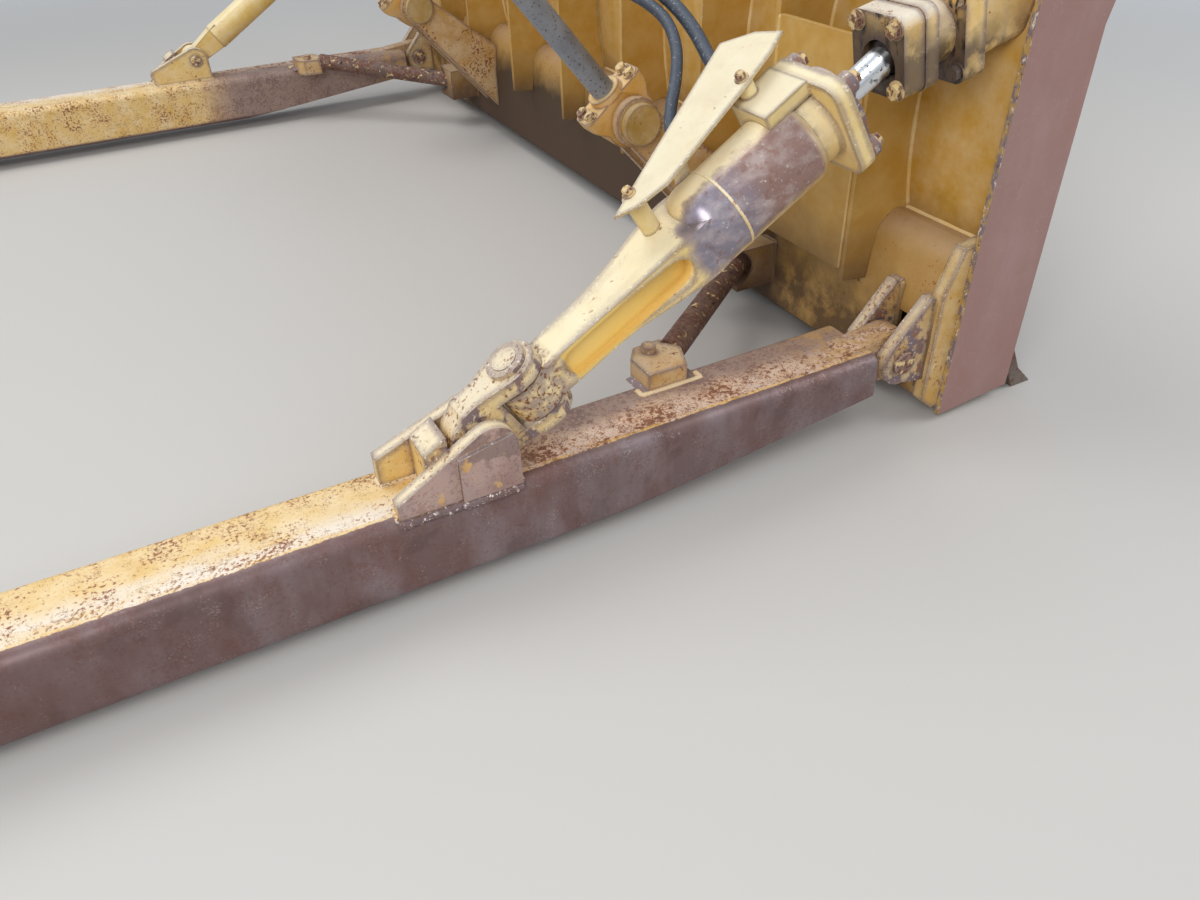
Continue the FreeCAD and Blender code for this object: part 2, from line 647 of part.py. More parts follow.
# Port block on the tube, posts, and the folded guard plate over the hoses
def local(shape):
    """A shape made in the tilt cylinder's own frame, put in place."""
    shape.Placement = TILT_PLACE.multiply(shape.Placement)
    return shape


TUBE = val("tube_rad")
# Hose routes, along, to the side and up from the front end of the cylinder's tube
ROUTE_A = [(-50, 92, 80), (-50, 150, 87), (-28, 212, 102), (-1, 276, 121), (17, 345, 146), (23, 420, 172),
           (25, 495, 190), (24, 560, 197)]
ROUTE_B = [(-210, 92, 72), (-188, 132, 88), (-150, 172, 103), (-98, 214, 114), (-47, 270, 128), (-12, 342, 144),
           (-6, 420, 166), (-14, 496, 186), (-24, 562, 199)]
ROUTES = [([V(val("tube_end") + p[0], p[1], p[2]) for p in route], val(rad))
          for route, rad in ((ROUTE_A, "hose_a_rad"), (ROUTE_B, "hose_b_rad"))]
tube_space = Part.makeCylinder(TUBE, 400, V(val("shank_end") - 40, 0, 0), V(1, 0, 0))
port_bits = [Part.makeBox(92, 98, 52, V(val("tube_end") - 92, -30, TUBE - 32)).cut(tube_space)]
for (points, rad), long in zip(ROUTES, (24, 58)):
    lead = (points[1] - points[0]).normalize()
    spigot = Part.makeCylinder(rad + 4, long, points[0] - lead * (long + 0.3), lead).cut(tube_space)
    port_bits.append(max(spigot.Solids, key=lambda one: one.Volume))
port_bits[0] = port_bits[0].fuse(port_bits.pop(1)).removeSplitter()
post_a = Part.makeCylinder(15, val("guard_up") - TUBE - 20, V(val("tube_end") - 62, 50, TUBE + 20))
post_b = local(Part.makeCylinder(17, val("guard_up"), V(val("shank_end") - 30, 26, 0))).cut(barrel.Shape)
post_b = max(post_b.Solids, key=lambda one: one.CenterOfMass.z)
set_piece("hose_ports", joined([local(one) for one in port_bits + [post_a]] + [post_b]))

guard = body("guard_body")
sk = sketch(guard, "guard_plan", "XY_Plane", "guard_up + guard_thick/2")
outline(sk, [("tube_end - 378", "8"), ("tube_end - 340", "-14"), ("tube_end - 280", "-22"),
             ("tube_end - 77", "28"), ("tube_end + 5", "53"), ("tube_end + 49", "74"),
             ("tube_end + 31", "128"), ("tube_end - 13", "178")])
pad(guard, sk, "guard_thick", "guard_plate")
guard.Placement = TILT_PLACE
keep(guard, "hose_guard")


def hose(points, rad):
    """A round tube along straight runs joined by arcs that touch them."""
    spots = points
    edges = []
    start = spots[0]
    least = 1e9
    for i in range(1, len(spots) - 1):
        back = spots[i] - spots[i - 1]
        ahead = spots[i + 1] - spots[i]
        half = back.getAngle(ahead) / 2
        bend = 0.45 * min(back.Length, ahead.Length) / math.tan(half)
        least = min(least, bend)
        cut_back = bend * math.tan(half)
        one = spots[i] - back.normalize() * cut_back
        two = spots[i] + ahead.normalize() * cut_back
        middle = (one + two) * 0.5
        inward = (middle - spots[i]).normalize()
        centre = spots[i] + inward * (bend / math.cos(half))
        top = centre - inward * bend
        edges.append(Part.LineSegment(start, one).toShape())
        edges.append(Part.Arc(one, top, two).toShape())
        start = two
    edges.append(Part.LineSegment(start, spots[-1]).toShape())
    path = Part.Wire(edges)
    lead = (spots[1] - spots[0]).normalize()
    face = Part.Wire([Part.Circle(spots[0], lead, rad).toShape()])
    tube = path.makePipeShell([face], True, True)
    want = math.pi * rad ** 2 * path.Length
    if abs(tube.Volume / want - 1) > 0.01:
        raise ValueError("hose volume is off")
    print("hose %.0f mm long, %.0f mm thick, least bend %.0f mm" % (path.Length, rad * 2, least))
    return tube


for label, (points, rad) in zip(("tilt_hose_front", "tilt_hose_rear"), ROUTES):
    set_piece(label, local(hose(points, rad)))
ends_of_hoses = []
for points, rad in ROUTES:
    way = (points[-1] - points[-2]).normalize()
    last = points[-1] + way * 0.9
    ferrule = Part.makeCylinder(rad + 3, 34, last, way)
    six = Part.makeCylinder(rad + 6, 20, last + way * 34, way)
    plug = Part.makeCylinder(rad - 1, 16, last + way * 54, way)
    ends_of_hoses.append(local(ferrule.fuse(six).fuse(plug).removeSplitter()))
set_piece("hose_couplings", joined(ends_of_hoses))

# Chrome rod with the ball end that the housing holds
ball = doc.addObject("Part::Sphere", "ball_form")
put(ball, Radius="ball_rad")
ball.Placement = App.Placement(BALL, App.Rotation())
rod_start = along_tilt(val("rod_start"))
chrome = rod("chrome_bar", "rod_rad", "1", rod_start, TILT_DIR)
chrome.setExpression("Height", named("tilt_long - rod_start"))
keep(fuse("rod_solid", [chrome, ball]), "tilt_rod")

# Blade skin: a slice of a tube, concave to the front
def arc_tube(name, outer, inner, wide, y0):
    big = doc.addObject("Part::Cylinder", name + "_outer")
    small = doc.addObject("Part::Cylinder", name + "_inner")
    for cyl, rad in ((big, outer), (small, inner)):
        put(cyl, Radius=rad, Height=wide)
        cyl.Placement = App.Placement(V(SKIN_MID.x, y0, SKIN_MID.z), App.Rotation(V(0, 0, 1), V(0, 1, 0)))
        cyl.setExpression("Placement.Base.x", named("arm_reach + skin_back + skin_curve"))
        cyl.setExpression("Placement.Base.z", named("skin_belly"))
    return cut(name + "_tube", big, small)


SIDE_0 = -val("blade_half") + val("arm_to_middle")
skin_tube = arc_tube("skin", "skin_curve + skin_thick", "skin_curve", "blade_half*2 - end_thick*2",
                     SIDE_0 + val("end_thick"))
skin_window = box("skin_window", "arm_reach + skin_back - skin_thick - 5", "arm_to_middle - blade_half - 5",
                  "skin_foot", "skin_curve*0.5", "blade_half*2 + 10", "blade_top - skin_foot")
skin = doc.addObject("Part::Common", "skin_solid")
skin.Base = skin_tube
skin.Tool = skin_window
keep(skin, "mouldboard")

# Cylinder of the skin's back, which trims all that is welded to it
trim = doc.addObject("Part::Cylinder", "skin_trim")
put(trim, Radius="skin_curve + skin_thick", Height="blade_half*2 + 400")
trim.Placement = App.Placement(V(SKIN_MID.x, SIDE_0 - 200, SKIN_MID.z), App.Rotation(V(0, 0, 1), V(0, 1, 0)))
trim.setExpression("Placement.Base.x", named("arm_reach + skin_back + skin_curve"))
trim.setExpression("Placement.Base.z", named("skin_belly"))

# Lower box beam along the whole blade, with recesses for the arm tips
lower = body("lower_box_body")
sk = sketch(lower, "lower_box_side", "XZ_Plane", "-arm_to_middle")
outline(sk, [("arm_reach + skin_back - 20", "box_top"), ("arm_reach + box_back + 16", "box_top - 12"),
             ("arm_reach + box_back", "box_fold - 20"), ("arm_reach + box_back", "-ground_drop + 62"),
             ("arm_reach + box_back + 30", "-ground_drop + 34"), ("arm_reach + 250", "-ground_drop + 52"),
             ("arm_reach + 330", "skin_foot"), ("arm_reach + 330", "skin_foot + 40"),
             ("arm_reach + 200", "box_top - 10")])
pad(lower, sk, "(blade_half - end_thick - end_bar)*2", "lower_box_length")
fold = V(REACH + val("box_back") + 16, 0, val("box_top") - 12)
rounds(lower, edges_at(lower.Shape, lambda m, e: abs(m.x - fold.x) < 0.1 and abs(m.z - fold.z) < 0.1),
       "box_round", "lower_box_top_round")
sk = sketch(lower, "lower_box_inside", "XZ_Plane", "-arm_to_middle")
outline(sk, [("arm_reach + 240", "box_top - 20 - beam_wall"), ("arm_reach + box_back + 74", "box_top - 6 - beam_wall"),
             ("arm_reach + box_back + 22 + beam_wall", "box_top - 58"),
             ("arm_reach + box_back + beam_wall", "box_fold - 22"),
             ("arm_reach + box_back + beam_wall", "-ground_drop + 68"),
             ("arm_reach + box_back + 36", "-ground_drop + 36 + beam_wall"),
             ("arm_reach + 246", "-ground_drop + 54 + beam_wall"), ("arm_reach + 330", "skin_foot + 20")])
pocket(lower, sk, "blade_half*4", "lower_box_hollow")
for tag, mid in (("right", "tip_mid"), ("left", "2*arm_to_middle - tip_mid")):
    sk = sketch(lower, "tip_recess_" + tag, "XZ_Plane", "-(%s)" % mid)
    outline(sk, [("arm_reach - 20", "front_pin_rise - tip_rad - 22"),
                 ("arm_reach + box_back + 22", "front_pin_rise - tip_rad - 22"),
                 ("arm_reach + box_back + 22", "front_pin_rise + tip_rad + 8"),
                 ("arm_reach - 20", "front_pin_rise + tip_rad + 8")])
    pocket(lower, sk, "yoke_gap - 0.5", "tip_recess_cut_" + tag)
lower_box = cut("lower_box_solid", lower, trim)
keep(lower_box, "lower_box_beam")

# End plates
ends = body("end_plate_body")
sk = sketch(ends, "end_plate_side", "XZ_Plane", "blade_half - arm_to_middle - end_thick/2")
outline(sk, [("arm_reach + skin_back - 39", "-ground_drop + 15"), ("arm_reach + skin_back + 163", "-ground_drop + 30"),
             ("arm_reach + skin_back + 163", "blade_top*0.62"),
             ("arm_reach + skin_back + 264", "blade_top - 2"), ("arm_reach + skin_back + 252", "blade_top + 10"),
             ("arm_reach + skin_back - 14", "blade_top + 10")])
pad(ends, sk, "end_thick", "end_plate")
# Vertical ribs on the back, trimmed by the skin and by the lower box
def rib(tag, mid):
    one = body("rib_body_" + tag)
    rib_sk = sketch(one, "rib_side_" + tag, "XZ_Plane", "-(%s)" % mid)
    outline(rib_sk, [("arm_reach + rib_back", "box_fold - 4"), ("arm_reach + box_back", "box_fold - 12"),
                     ("arm_reach + skin_back + 60", "box_fold"), ("arm_reach + skin_back + 200", "blade_top - 60"),
                     ("arm_reach + skin_back + 30", "blade_top - 60"), ("arm_reach + rib_back + 30", "blade_top - 190"),
                     ("arm_reach + rib_back", "blade_top - 260")])
    pad(one, rib_sk, "rib_thick", "rib_plate_" + tag)
    return one


RIBS = [("mid", "arm_to_middle")]
for k in (1, 2):
    RIBS.append(("r%d" % k, "arm_to_middle - rib_pitch*%d" % k))
    RIBS.append(("l%d" % k, "arm_to_middle + rib_pitch*%d" % k))
for tag, off in (("bay", "(rib_outer + rib_pitch*2)/2"), ("end", "rib_outer")):
    RIBS.append(("r" + tag, "arm_to_middle - " + off))
    RIBS.append(("l" + tag, "arm_to_middle + " + off))
rib_forms = [cut("rib_on_skin_" + tag, rib(tag, mid), trim) for tag, mid in RIBS]
doc.recompute()

# Top beam, bent from plate, along the whole blade
top = body("top_beam_body")
sk = sketch(top, "top_beam_side", "XZ_Plane", "-arm_to_middle")
outline(sk, [("arm_reach + rib_back + 60", "blade_top - 150"), ("arm_reach + rib_back + 84", "blade_top - 66"),
             ("arm_reach + rib_back + 130", "blade_top - 22"), ("arm_reach + 300", "blade_top - 22"),
             ("arm_reach + 340", "blade_top - 40"), ("arm_reach + skin_back + 60", "blade_top - 190")])
pad(top, sk, "blade_half*2 - end_thick*2", "top_beam_length")
sk = sketch(top, "top_beam_inside", "XZ_Plane", "-arm_to_middle")
outline(sk, [("arm_reach + rib_back + 62 + beam_wall", "blade_top - 148"),
             ("arm_reach + rib_back + 84 + beam_wall", "blade_top - 72"),
             ("arm_reach + rib_back + 136", "blade_top - 22 - beam_wall"),
             ("arm_reach + 340", "blade_top - 22 - beam_wall"),
             ("arm_reach + skin_back + 110", "blade_top - 172")])
pocket(top, sk, "blade_half*4", "top_beam_hollow")
top_beam = cut("top_beam_solid", top, trim)
keep(top_beam, "top_beam")

ribs_shape = []
for form in rib_forms:
    ribs_shape.append(form.Shape.copy())
doc.recompute()
all_ribs = joined([s.cut(lower_box.Shape).cut(top_beam.Shape) for s in ribs_shape])
set_piece("vertical_ribs", all_ribs)

# Rear panels that close the bays behind the cylinder's housing
panels = []
for sign in (-1, 1):
    y0 = val("arm_to_middle") + sign * (val("rib_outer") + val("rib_pitch") * 2) / 2 + (
        val("rib_thick") / 2 if sign > 0 else -val("rib_thick") / 2)
    y1 = val("arm_to_middle") + sign * val("rib_outer") - sign * val("rib_thick") / 2
    low, high = sorted((y0, y1))
    panels.append(Part.makeBox(val("panel_thick"), high - low, val("panel_tall"),
                               V(REACH + val("rib_back"), low, val("box_fold") + 18)))
set_piece("rear_panels", joined(panels))

# Flat bars that close the box beam's ends, inside the end plates
bars = body("end_bar_body")
sk = sketch(bars, "end_bar_side", "XZ_Plane", "blade_half - arm_to_middle - end_thick - end_bar/2")
outline(sk, [("arm_reach + box_back - 3", "-ground_drop + 60"), ("arm_reach + box_back + 30", "-ground_drop + 31"),
             ("arm_reach + 250", "-ground_drop + 49"), ("arm_reach + 290", "box_fold"),
             ("arm_reach + skin_back", "box_top + 6"), ("arm_reach + box_back + 30", "box_top - 2"),
             ("arm_reach + box_back - 3", "box_fold + 40")])
pad(bars, sk, "end_bar", "end_bar_plate")
bar_right = cut("end_bar_on_skin", bars, trim)
bar_left = mirror("end_bar_mirror", bar_right)
bar_set = doc.addObject("Part::Compound", "end_bar_set")
bar_set.Links = [bar_right, bar_left]
keep(bar_set, "box_end_bars")

# Cutting edge and end bits, under the skin's foot and standing on the ground
def on_skin(height):
    """The point of the skin's front face at a height."""
    rise = val("skin_belly") - height
    return V(SKIN_MID.x - math.sqrt(val("skin_curve") ** 2 - rise ** 2), 0, height)


foot = on_skin(val("skin_foot"))
edge_top = on_skin(val("skin_foot") + val("edge_lap"))
slope = (foot - edge_top).normalize()
out = V(-slope.z, 0, slope.x)
edge_end = foot + slope * ((foot.z + val("ground_drop")) / -slope.z)


def edge_plate(y0, y1, lead, thick, rise):
    """A plate from the skin's foot to the ground, with its lower edge bevelled."""
    top_back = edge_top - slope * rise + out * 0.3
    low_back = edge_end + out * 0.3
    low_back = V(low_back.x, 0, -val("ground_drop"))
    low_front = V(low_back.x + thick * 0.7 + lead, 0, -val("ground_drop"))
    mid_front = low_back - slope * 40 + out * thick
    top_front = top_back + out * thick
    pts = [top_back, low_back, low_front, mid_front, top_front, top_back]
    pts = [V(p.x, y0, p.z) for p in pts]
    return Part.Face(Part.makePolygon(pts)).extrude(V(0, y1 - y0, 0))


EDGE_0 = SIDE_0 + val("bit_long")
EDGE_1 = SIDE_0 + val("blade_half") * 2 - val("bit_long")
set_piece("cutting_edge", edge_plate(EDGE_0, EDGE_1, 0, val("edge_thick"), 0))
bits = []
INSIDE = val("end_thick") + 0.3
for low, high in ((SIDE_0 + INSIDE, EDGE_0 - 1), (EDGE_1 + 1, SIDE_0 + val("blade_half") * 2 - INSIDE)):
    bits.append(edge_plate(low, high, 38, val("edge_thick") + 6, 0))
set_piece("end_bits", joined(bits))
keep(ends, "right_end_plate")
keep(mirror("end_plate_mirror", ends), "left_end_plate")
doc.recompute()

# Lugs on the blade that hold the arm tips, trimmed by the lower box, and their pins
yokes = body("yoke_body")
for tag, mid in (("right", "tip_mid"), ("left", "2*arm_to_middle - tip_mid")):
    for side, sign in (("a", "-"), ("b", "+")):
        at = "-(%s %s (yoke_gap + yoke_thick)/2)" % (mid, sign)
        sk = sketch(yokes, "yoke_side_%s_%s" % (tag, side), "XZ_Plane", at)
        outline(sk, [("arm_reach + yoke_rad*0.1", "front_pin_rise - yoke_rad*0.99"),
                     ("arm_reach + box_back + 14", "front_pin_rise - yoke_rad*1.25"),
                     ("arm_reach + box_back + 14", "box_fold + 30"),
                     ("arm_reach + box_back - 16", "box_fold + 30"),
                     ("arm_reach - yoke_rad*0.8", "front_pin_rise + yoke_rad*0.6")])
        pad(yokes, sk, "yoke_thick", "yoke_web_%s_%s" % (tag, side))
        sk = sketch(yokes, "yoke_eye_%s_%s" % (tag, side), "XZ_Plane", at)
        ring(sk, "arm_reach", "front_pin_rise", "yoke_rad")
        pad(yokes, sk, "yoke_thick", "yoke_boss_%s_%s" % (tag, side))
sk = sketch(yokes, "yoke_bore_side", "XZ_Plane", "-arm_to_middle")
ring(sk, "arm_reach", "front_pin_rise", "front_pin_rad")
pocket(yokes, sk, "blade_half*2", "yoke_bore")
keep(cut("yokes_by_bars", cut("yokes_on_box", yokes, lower_box), bar_set), "push_arm_lugs")

pin_bars = []
for tag, mid in (("right", val("tip_mid")), ("left", 2 * val("arm_to_middle") - val("tip_mid"))):
    long = val("yoke_gap") + val("yoke_thick") * 2 + 14
    bar = rod("front_pin_" + tag, "front_pin_rad", "yoke_gap + yoke_thick*2 + 14",
              V(REACH, mid - long / 2, PIN_Z), V(0, 1, 0))
    pin_bars.append(bar)
front_pins = doc.addObject("Part::Compound", "front_pins_set")
front_pins.Links = pin_bars
keep(front_pins, "front_pins")

# Diagonal brace: bracket on the arm's inner side, round bar, and a ball end on the pin's line
BRACE_BALL = V(REACH, ARM_HALF_WIDE + val("brace_side"), PIN_Z)
BRACE_ROOT = V(REACH - val("brace_root"), ARM_HALF_WIDE + val("brace_out"), val("brace_rise"))
BRACE_DIR = (BRACE_BALL - BRACE_ROOT).normalize()
bracket = body("brace_bracket_body")
sk = sketch(bracket, "bracket_side", "XZ_Plane", "-arm_wide/2 + 12")
outline(sk, [("arm_reach - brace_root - 124", "arm_tall/2 - 2"), ("arm_reach - brace_root + 6", "arm_tall/2 - 2"),
             ("arm_reach - brace_root - 8", "brace_rise - 20"), ("arm_reach - brace_root - 108", "brace_rise - 20")])
pad(bracket, sk, "70", "bracket_foot")
sk = sketch(bracket, "bracket_plan", "XY_Plane", "brace_rise - 12")
outline(sk, [("arm_reach - brace_root - 108", "arm_wide/2 - 44"), ("arm_reach - brace_root - 22", "arm_wide/2 - 44"),
             ("arm_reach - brace_root + 2", "arm_wide/2 + 18"), ("arm_reach - brace_root - 20", "arm_wide/2 + 66"),
             ("arm_reach - brace_root - 84", "arm_wide/2 + 62"), ("arm_reach - brace_root - 108", "arm_wide/2 + 30")])
pad(bracket, sk, "brace_rad*2", "bracket_socket")
sk = sketch(bracket, "bracket_pin_plan", "XY_Plane", "brace_rise + brace_rad - 8")
ring(sk, "arm_reach - brace_root - 64", "arm_wide/2 + 34", "15")
pad(bracket, sk, "24", "bracket_pin")
brace_bar = rod("brace_bar", "brace_rad", "1", BRACE_ROOT - BRACE_DIR * 14, BRACE_DIR)
brace_bar.setExpression("Height", "%r" % ((BRACE_BALL - BRACE_ROOT).Length + 14))
brace_end = doc.addObject("Part::Sphere", "brace_ball_form")
put(brace_end, Radius="brace_ball")
brace_end.Placement = App.Placement(BRACE_BALL, App.Rotation())
brace = fuse("brace_solid", [brace_bar, brace_end])
keep(brace, "right_diagonal_brace")
bracket_on_arm = cut("bracket_on_arm", bracket, arm)
bracket_cut = cut("bracket_for_brace", bracket_on_arm, brace)
keep(bracket_cut, "right_brace_bracket")
doc.recompute()

# Housing on the lower box for the brace's ball
def brace_housing(name):
    block = box(name + "_block", "arm_reach - 46", "arm_wide/2 + brace_side - 62", "front_pin_rise - 54",
                "box_back + 46", "124", "108")
    hollow = doc.addObject("Part::Sphere", name + "_hollow")
    put(hollow, Radius="brace_ball + fit_play")
    hollow.Placement = App.Placement(BRACE_BALL, App.Rotation())
    first = cut(name + "_socket", block, hollow)
    mouth = doc.addObject("Part::Cone", name + "_mouth")
    put(mouth, Radius1="brace_rad + 4", Radius2="brace_rad + 40", Height="150")
    mouth.Placement = App.Placement(BRACE_BALL, App.Rotation(V(0, 0, 1), BRACE_DIR * -1))
    return cut(name, first, mouth)


housing_right = brace_housing("brace_housing")
doc.recompute()
housing_left = mirror("brace_housing_mirror", housing_right)
housings = doc.addObject("Part::Compound", "brace_housing_set")
housings.Links = [housing_right, housing_left]
keep(housings, "brace_ball_housings")

# Housing on the blade for the cylinder's ball end: front plate, waist, base flange and a
# foot that reaches the skin, with a cap bolted on the front plate
SEAT_DIR = V(math.cos(math.radians(val("seat_lean"))), 0, math.sin(math.radians(val("seat_lean"))))
SEAT_TURN = App.Rotation(V(0, 1, 0), -val("seat_lean"))


def at_seat(distance, side=0.0, up=0.0):
    """A point in the housing's own frame, measured from the ball's middle."""
    return BALL + SEAT_DIR * distance + V(-SEAT_DIR.z * up, side, SEAT_DIR.x * up)


def block(name, wide, tall, rad, long, distance):
    """A block with four rounded edges along the housing's axis."""
    one = body(name + "_body")
    face_sk = sketch(one, name + "_section", "YZ_Plane", "0")
    outline(face_sk, [("-(%s)/2" % wide, "-(%s)/2" % tall), ("(%s)/2" % wide, "-(%s)/2" % tall),
                      ("(%s)/2" % wide, "(%s)/2" % tall), ("-(%s)/2" % wide, "(%s)/2" % tall)])
    pad(one, face_sk, long, name + "_block", mid=False)
    half_y, half_z = number(wide) / 2, number(tall) / 2
    found = edges_at(one.Shape, lambda m, e: abs(abs(m.y) - half_y) < 0.1 and abs(abs(m.z) - half_z) < 0.1)
    rounds(one, found, rad, name + "_rounds")
    one.Placement = App.Placement(at_seat(distance), SEAT_TURN)
    return one


hollow = doc.addObject("Part::Sphere", "ball_hollow")
put(hollow, Radius="ball_rad + ball_play")
hollow.Placement = App.Placement(BALL, App.Rotation())
STEP = val("seat_step")
base_bits = [block("seat_front", "seat_wide", "seat_tall", "seat_round", "seat_front", 0.5),
             rod("seat_waist_bar", "seat_waist", "seat_step", at_seat(0.5), SEAT_DIR),
             block("seat_base", "seat_wide + 24", "seat_tall + 26", "seat_round", "seat_flange", STEP),
             block("seat_foot", "seat_wide - 12", "seat_tall - 16", "seat_round", "skin_curve*0.5", STEP + 20)]
base_trim = cut("ball_base_on_skin", fuse("ball_base_fused", base_bits), trim)
base_cut = cut("ball_base_socket", base_trim, hollow)
doc.recompute()
base_solid = sorted(base_cut.Shape.Solids, key=lambda one: one.CenterOfMass.x)[0]
base_heads = [bolt(at_seat(STEP, (val("seat_wide") / 2 - 4) * sy, (val("seat_tall") / 2 - 10) * sz), SEAT_DIR * -1, 14, 13)
              for sy in (-1, 1) for sz in (-1, 1)]
base_heads = [one for one in base_heads if one.common(base_solid).Volume < 1.0]

cap_block = block("ball_cap", "seat_wide - cap_edge*2", "seat_tall - cap_edge*2", "seat_round - cap_edge", "cap_deep",
                  -val("cap_deep"))
cap_hollow = cut("ball_cap_socket", cap_block, hollow)
cap_mouth = doc.addObject("Part::Cone", "ball_cap_mouth")
put(cap_mouth, Radius1="rod_rad + 2", Radius2="rod_rad + 30", Height="100")
cap_mouth.Placement = App.Placement(BALL, App.Rotation(V(0, 0, 1), TILT_DIR * -1))
cap_done = cut("ball_cap_solid", cap_hollow, cap_mouth)
doc.recompute()
cap_heads = [bolt(at_seat(-val("cap_deep"), (val("seat_wide") / 2 - 19) * sy, (val("seat_tall") / 2 - 20) * sz),
                  SEAT_DIR * -1, 14, 13)
             for sy in (-1, 1) for sz in (-1, 1)]
cap_shape = joined([cap_done.Shape.copy()] + cap_heads)


def mirrored(shape):
    """The same shape on the blade's other side."""
    return shape.mirror(V(0, val("arm_to_middle"), 0), V(0, 1, 0))


seat_set = joined([base_solid] + base_heads)
set_piece("ball_seats", joined([seat_set, mirrored(seat_set)]))
set_piece("ball_caps", joined([cap_shape, mirrored(cap_shape)]))

# Lift cylinders: ears and pin on the blade, rod with a split head, barrel with trunnions
lean = math.radians(val("lift_lean"))
LIFT_DIR = V(-math.sin(lean), 0, math.cos(lean))
LIFT = V(REACH - val("lift_back"), val("arm_to_middle") - val("lift_side"), val("lift_rise"))
HEAD = val("lift_head_wide")
ears = body("lift_ear_body")
for tag, sign in (("a", "-"), ("b", "+")):
    at = "-(arm_to_middle - lift_side %s (lift_head_wide/2 + 3 + lift_ear/2))" % sign
    sk = sketch(ears, "ear_side_" + tag, "XZ_Plane", at)
    outline(sk, [("arm_reach - lift_back + 49*cos(lift_lean)", "lift_rise + 49*sin(lift_lean)"),
                 ("arm_reach + box_back + 40", "box_fold + 50"), ("arm_reach + box_back + 40", "-ground_drop + 80"),
                 ("arm_reach - lift_back - 49*cos(lift_lean)", "lift_rise - 49*sin(lift_lean)")])
    pad(ears, sk, "lift_ear", "ear_web_" + tag)
    sk = sketch(ears, "ear_eye_" + tag, "XZ_Plane", at)
    ring(sk, "arm_reach - lift_back", "lift_rise", "lift_pin_rad + 16")
    pad(ears, sk, "lift_ear", "ear_boss_" + tag)
sk = sketch(ears, "ear_bore_side", "XZ_Plane", "-(arm_to_middle - lift_side)")
ring(sk, "arm_reach - lift_back", "lift_rise", "lift_pin_rad")
pocket(ears, sk, "lift_head_wide*4", "ear_bore")
ears_on_skin = cut("ears_on_box", cut("ears_on_skin", ears, trim), lower_box)
doc.recompute()
ear_right = ears_on_skin.Shape.copy()
set_piece("lift_ears", joined([ear_right, mirrored(ear_right)]))
pin_long = HEAD + 6 + val("lift_ear") * 2 + 20
lift_bar = rod("lift_pin_bar", "lift_pin_rad", "lift_head_wide + lift_ear*2 + 26",
               V(LIFT.x, LIFT.y - pin_long / 2, LIFT.z), V(0, 1, 0))
disc_out = V(LIFT.x, LIFT.y - pin_long / 2 - 14, LIFT.z)
disc_in = V(LIFT.x, LIFT.y + pin_long / 2 - 10, LIFT.z)
discs = [rod("lift_disc_out", "lift_disc_rad", "24", disc_out, V(0, 1, 0)),
         rod("lift_disc_in", "lift_disc_rad", "24", disc_in, V(0, 1, 0))]
lift_pin = fuse("lift_pin_right", [lift_bar] + discs)
lift_pin_left = mirror("lift_pin_left", lift_pin)
lift_pins = doc.addObject("Part::Compound", "lift_pin_set")
lift_pins.Links = [lift_pin, lift_pin_left]
keep(lift_pins, "lift_pins")

lift_rod = rod("lift_rod_bar", "lift_rod_rad", "lift_rod_long", LIFT + LIFT_DIR * (val("lift_head_rad") - 12), LIFT_DIR)
lift_collar = rod("lift_collar", "lift_rod_rad + 14", "18", LIFT + LIFT_DIR * (val("lift_head_rad") + 4), LIFT_DIR)
lift_eye = rod("lift_eye", "lift_head_rad", "lift_head_wide", V(LIFT.x, LIFT.y - HEAD / 2, LIFT.z), V(0, 1, 0))
lift_bore = rod("lift_eye_bore", "lift_pin_rad + fit_play", "lift_head_wide + 4",
                V(LIFT.x, LIFT.y - HEAD / 2 - 2, LIFT.z), V(0, 1, 0))
LIFT_TURN = App.Rotation(V(0, 1, 0), -val("lift_lean"))
LIFT_SIDE = LIFT_TURN.multVec(V(1, 0, 0))
head_block = body("lift_head_body")
sk = sketch(head_block, "lift_head_side", "XZ_Plane", "0")
outline(sk, [("-lift_cap_long/2", "lift_head_rad + 6 - lift_cap_deep*0.6"), ("-lift_head_rad*0.94", "lift_head_rad*0.12"),
             ("lift_head_rad*0.94", "lift_head_rad*0.12"), ("lift_cap_long/2", "lift_head_rad + 6 - lift_cap_deep*0.6"),
             ("lift_cap_long/2", "lift_head_rad + 6"), ("-lift_cap_long/2", "lift_head_rad + 6")])
pad(head_block, sk, "lift_head_wide", "lift_head_cap")
half_long, half_head = val("lift_cap_long") / 2, HEAD / 2
head_edges = edges_at(head_block.Shape,
                      lambda m, e: abs(abs(m.x) - half_long) < 0.1 and abs(abs(m.y) - half_head) < 0.1)
rounds(head_block, head_edges, "14", "lift_head_rounds")
head_block.Placement = App.Placement(LIFT, LIFT_TURN)
lift_whole = fuse("lift_rod_fused", [lift_rod, lift_collar, lift_eye, head_block])
lift_head = cut("lift_rod_solid", lift_whole, lift_bore)
doc.recompute()
top_of_head = LIFT + LIFT_DIR * (val("lift_head_rad") + 6)
head_bolts = [bolt(top_of_head + LIFT_SIDE * ((half_long - 20) * sx) + V(0, (half_head - 19) * sy, 0), LIFT_DIR, 13, 14)
              for sx in (-1, 1) for sy in (-1, 1)]
lift_set = joined([lift_head.Shape.copy()] + head_bolts)
set_piece("right_lift_rod", lift_set)
set_piece("left_lift_rod", mirrored(lift_set))

